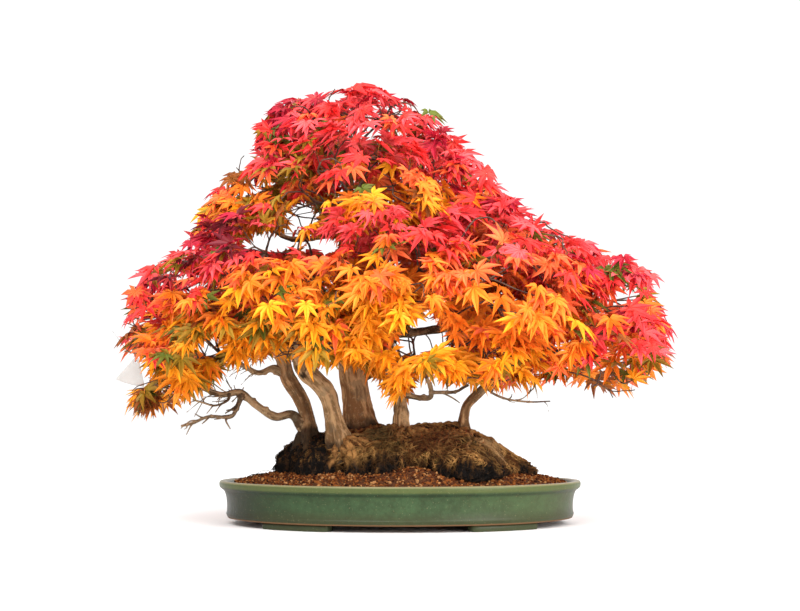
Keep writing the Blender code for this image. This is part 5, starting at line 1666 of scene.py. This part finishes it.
rng = np.random.default_rng(LEAF_SEED)
is_tip = spray_ends[:, 13] == 1
edge_index, pair_place = [], []
for at, pair_share in zip(PAIR_PLACES, PAIR_SHARES):
    chosen = np.flatnonzero(is_tip & (rng.random(len(spray_ends)) < pair_share))
    edge_index.append(np.repeat(chosen, 2))
    pair_place.append(np.full(2 * len(chosen), at))
edge_index = np.concatenate(edge_index)
pair_place = np.concatenate(pair_place)
count = len(edge_index)
base, along = along_edge(spray_ends[edge_index], pair_place - rng.uniform(0, 0.06, count))
centres = np.array([centre for _, centre, _ in MASSES.values()]) * MM
halves = np.array([half for _, _, half in MASSES.values()]) * MM
mass = spray_ends[edge_index, 12].astype(int)
within = (base - centres[mass]) / halves[mass]
outward = base - (centres[mass] - halves[mass] * (0, 0, 0.7))
outward[:, 2] *= 0.55
outward /= np.linalg.norm(outward, axis=1, keepdims=True)


def unit(vectors):
    """Each vector over its own length."""
    return vectors / (np.linalg.norm(vectors, axis=-1, keepdims=True) + 1e-9)


aside = unit(np.cross(along, unit(rng.normal(size=(count, 3)))))
opposite = np.where(np.arange(count) % 2 == 0, 1.0, -1.0)[:, None]
pair_aside = np.repeat(aside[::2], 2, axis=0)
stalk_way = unit(
    0.55 * along + 0.75 * opposite * pair_aside + 0.45 * outward + rng.normal(0, 0.18, (count, 3))
)
stalk = rng.uniform(*STALK_LENGTHS, count)[:, None]
size = rng.uniform(*LEAF_SIZES, count) * np.where(pair_place > 0.9, 1.0, 0.9)
joint = base + stalk * unit(stalk_way + (0, 0, 0.15))
level = unit(outward * (1, 1, 0) + 1e-6)
hang = np.interp(within[:, 2:], (-0.5, 0.8), (1.0, 0.25))
upper = unit(0.85 * hang * level + (0, -0.10, 0.92) + rng.normal(0, 0.32, (count, 3)))
axis = 0.5 * stalk_way + 0.8 * level + hang * (0, 0, -0.45) + rng.normal(0, 0.45, (count, 3))
axis = unit(axis - np.sum(upper * axis, axis=1, keepdims=True) * upper)

pattern, off_middle, pattern_faces = leaf_pattern()
radius = np.hypot(*pattern.T)
angle = np.arctan2(pattern[:, 1], pattern[:, 0])
spread = rng.uniform(0.84, 1.05, (count, 1))
lean = rng.normal(0, 0.06, (count, 1))
reach = radius * (1 + 0.10 * np.sin(angle * 2.3 + rng.uniform(0, math.tau, (count, 1))))
turn = angle * spread + lean * np.cos(angle)
along_leaf, across_leaf = reach * np.cos(turn), reach * np.sin(turn)
droop = rng.uniform(-0.02, 0.30, (count, 1))
cup = rng.uniform(-0.08, 0.26, (count, 1))
fold = rng.uniform(0.3, 1.3, (count, 1))
twist = rng.normal(0, 0.18, (count, 1))
over = fold * off_middle - droop * along_leaf * np.abs(along_leaf) - cup * across_leaf**2
over = over + twist * along_leaf * across_leaf
across = np.cross(upper, axis)
leaves = joint[:, None] + size[:, None, None] * (
    along_leaf[..., None] * axis[:, None] + across_leaf[..., None] * across[:, None]
    + over[..., None] * upper[:, None]
)
finger_tips = leaves[:, radius > TIP_RADIUS]
kept = (is_open(finger_tips).mean(axis=1) > OPEN_SHARE) & is_open(joint)
kept &= in_window(leaves[:, ::2]).mean(axis=1) < WINDOW_SHARE
# Leaves thin out towards each pad's heart, where they would get no light.
thin = np.interp(np.linalg.norm(within, axis=1), (0.35, 0.80), (0.40, 1.0))
side, height = seen_at(joint)
# 1 in the crown's heart, where the leaves are fullest and clearest, and 0 far from it.
clearness = np.exp(-(((side - 0.08) / 0.19) ** 2 + ((height - 0.315) / 0.085) ** 2))
rows = np.array(FRONT_EDGE)
left_gap = side - np.interp(height, rows[:, 0], rows[:, 1])
right_gap = np.interp(height, rows[:, 0], rows[:, 2]) - side
# 1 at the crown's outline, as seen from the front, and 0 well inside it or low down.
rim = np.exp(-np.minimum(left_gap, right_gap) / 0.030) * np.clip((height - 0.20) / 0.05, 0, 1)
kept &= rng.random(count) < np.maximum(thin, clearness) * (1 - 0.30 * np.clip(rim, 0, 1))
kept &= clear_of_limbs(joint + 0.4 * size[:, None] * axis, LIMB_GAP)
leaves, base, joint, stalk_way = leaves[kept], base[kept], joint[kept], stalk_way[kept]
mass, within, edge_index = mass[kept], within[kept], edge_index[kept]
side, height, clearness, rim = side[kept], height[kept], clearness[kept], rim[kept]
count = len(base)
leaf_grain = np.stack(
    np.broadcast_arrays(off_middle, radius, rng.random((count, 1))), axis=-1
)

edges = spray_ends[edge_index]
# Luck is shared by the leaves of one spray, and leaf_luck is each leaf's own.
spray_key = (edges[:, 3:6] / 0.002).round() @ np.array((12.9898, 78.233, 37.719))
luck = np.modf(np.abs(np.sin(spray_key)) * 43758.5453)[0]
second = np.modf(np.abs(np.sin(spray_key * 1.7 + 3.1)) * 24634.6345)[0]
leaf_luck = rng.random(count)
second = np.where(rng.random(count) < 0.5, second, rng.random(count))
redness = np.array([REDNESS[name] for name in MASSES])[mass]
score = redness + (0.54 - 1.2 * np.clip(side, 0, 0.2)) * within[:, 2]
score += 0.28 * (luck - 0.5) + 0.30 * (leaf_luck - 0.5) + 0.24 * rim
score += 0.16 * (np.linalg.norm(within, axis=1) - 0.8)
# The heart of the crown is dealt clearer orange and gold, and dull and dark leaves are rarer there:
# partly the leaves' own colour, and partly painted light for light shining through them.
clear_score = 0.27 + 1.6 * (height - 0.30) + 0.7 * np.clip(side, 0, 0.16)
score = score + clearness * (clear_score - score) * 0.75
# The score picks a tint from gold at the foot of the ladder to pink at its top.
bands = (-9.0, 0.08, 0.24, 0.38, 0.52, 0.62, 9.0)
ladder = ("amber", "gold", "orange", "vermilion", "scarlet", "pink")
tint_names = [*LEAF_TINTS]
tint = np.array([tint_names.index(step) for step in ladder])[np.digitize(score, bands) - 1]
red = score > 0.50
left_end = side < np.interp(height, (0.2, 0.4, 0.6), (-0.26, -0.22, -0.17))
dull = second / (1.0001 - clearness) ** 1.5
# Olive-brown leaves: a few anywhere, and more as painted shade, gold darkened to olive, in the left
# half, in a band at the upper left and at the right end.
olive_shade_place = np.exp(-(((side + 0.150) / 0.055) ** 2 + ((height - 0.500) / 0.040) ** 2))
olive_and_shade_share = 0.08 + 0.10 * (side < -0.10) + 0.34 * olive_shade_place + 0.08 * (side > 0.30)
rim_share = 0.40 * np.clip(rim * 1.3, 0, 1)
swap = (
    (red & (second > 0.76), "scarlet"),
    (red & (dull < 0.05 + rim_share), "crimson"),
    # Painted shade: red leaves at the crown's left end turn crimson and maroon.
    (red & left_end & (dull < 0.34), "crimson"),
    (red & left_end & (dull < 0.09), "maroon"),
    (~red & (dull < olive_and_shade_share), "olive"),
    (red & (leaf_luck < 0.9 * olive_and_shade_share - 0.06), "olive"),
    (~red & (dull > 0.93) & (dull < 0.965), "green"),
    (red & (dull > 0.975) & (dull < 0.99), "green"),
    (~red & (second > 0.965 + 0.035 * clearness), "russet"),
    ((side < -0.33) & (height < 0.187) & (leaf_luck < 0.42), "russet"),
)
for where, label in swap:
    tint = np.where(where, tint_names.index(label), tint)

# A leaf that would reach farther past the solids' box than this is left off.
in_box = (leaves + SHIFT > np.array(cad_low) - LEAF_OVERHANG).all(axis=(1, 2))
in_box &= (leaves + SHIFT < np.array(cad_high) + LEAF_OVERHANG).all(axis=(1, 2))

for number, (label, colour) in enumerate(LEAF_TINTS.items()):
    chosen = (tint == number) & in_box
    paint, shader, place = new_material(
        f"leaf_{label}", Roughness=0.50, Specular_IOR_Level=0.22
    )
    grain = read_grain(paint.node_tree)
    vein = grain.part(0).rise(0.012, 0.0)
    heart = grain.part(1).rise(0.55, 0.0)
    blotch = place.grain(85.0, 4.0, 0.6)
    brighter = [min(1.0, 1.15 * c) for c in colour]
    duller = [0.80 * colour[0], 0.70 * colour[1], 0.70 * colour[2]]
    shade = (0.55 * grain.part(2) + 0.45 * blotch).rise(0.22, 0.72).between(duller, brighter)
    warm = [min(1.0, colour[0] * 1.05), min(1.0, colour[1] * 1.3 + 0.02), colour[2]]
    shade = (heart * 0.45).between(shade, warm)
    shade = (vein * 0.55).between(shade, [min(1.0, 1.3 * c + 0.012) for c in colour])
    feed(shader, Base_Color=shade, bump=(blotch - 0.8 * vein, 0.0005))
    points = leaves[chosen].reshape(-1, 3) + SHIFT
    faces = pattern_faces[None] + len(pattern) * np.arange(chosen.sum())[:, None, None]
    piece = new_piece(f"leaves_{label}", points, faces.reshape(-1, 3), [paint], False)
    set_grain(piece, leaf_grain[chosen].reshape(-1, 3))
    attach(piece, "root")
    "gold_leaf" if label in GOLD_TINTS else "red_leaf"

stalk_paint, stalk_shader, place = new_material("leaf_stalk", Roughness=0.5)
tone = place.grain(40.0, 3.0, 0.6)
colour = tone.rise(0.35, 0.65).between((0.42, 0.035, 0.02), (0.55, 0.20, 0.03))
feed(stalk_shader, Base_Color=colour, bump=(place.grain(800.0), 0.0002))
t = np.linspace(0, 1, 3)[None, :, None]
stalks = base[in_box, None] * (1 - t) + joint[in_box, None] * t
stalks[:, 1] += 0.0012 * stalk_way[in_box] * (0, 0, 1) + (0, 0, 0.0008)
widths = np.broadcast_to(np.array((0.00045, 0.00032, 0.00040)), (in_box.sum(), 3))
points, faces = tubes_mesh(tube_rows(stalks + SHIFT, widths, 3))
stalk_piece = new_piece("leaf_stalks", points, faces, [stalk_paint])
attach(stalk_piece, "root")
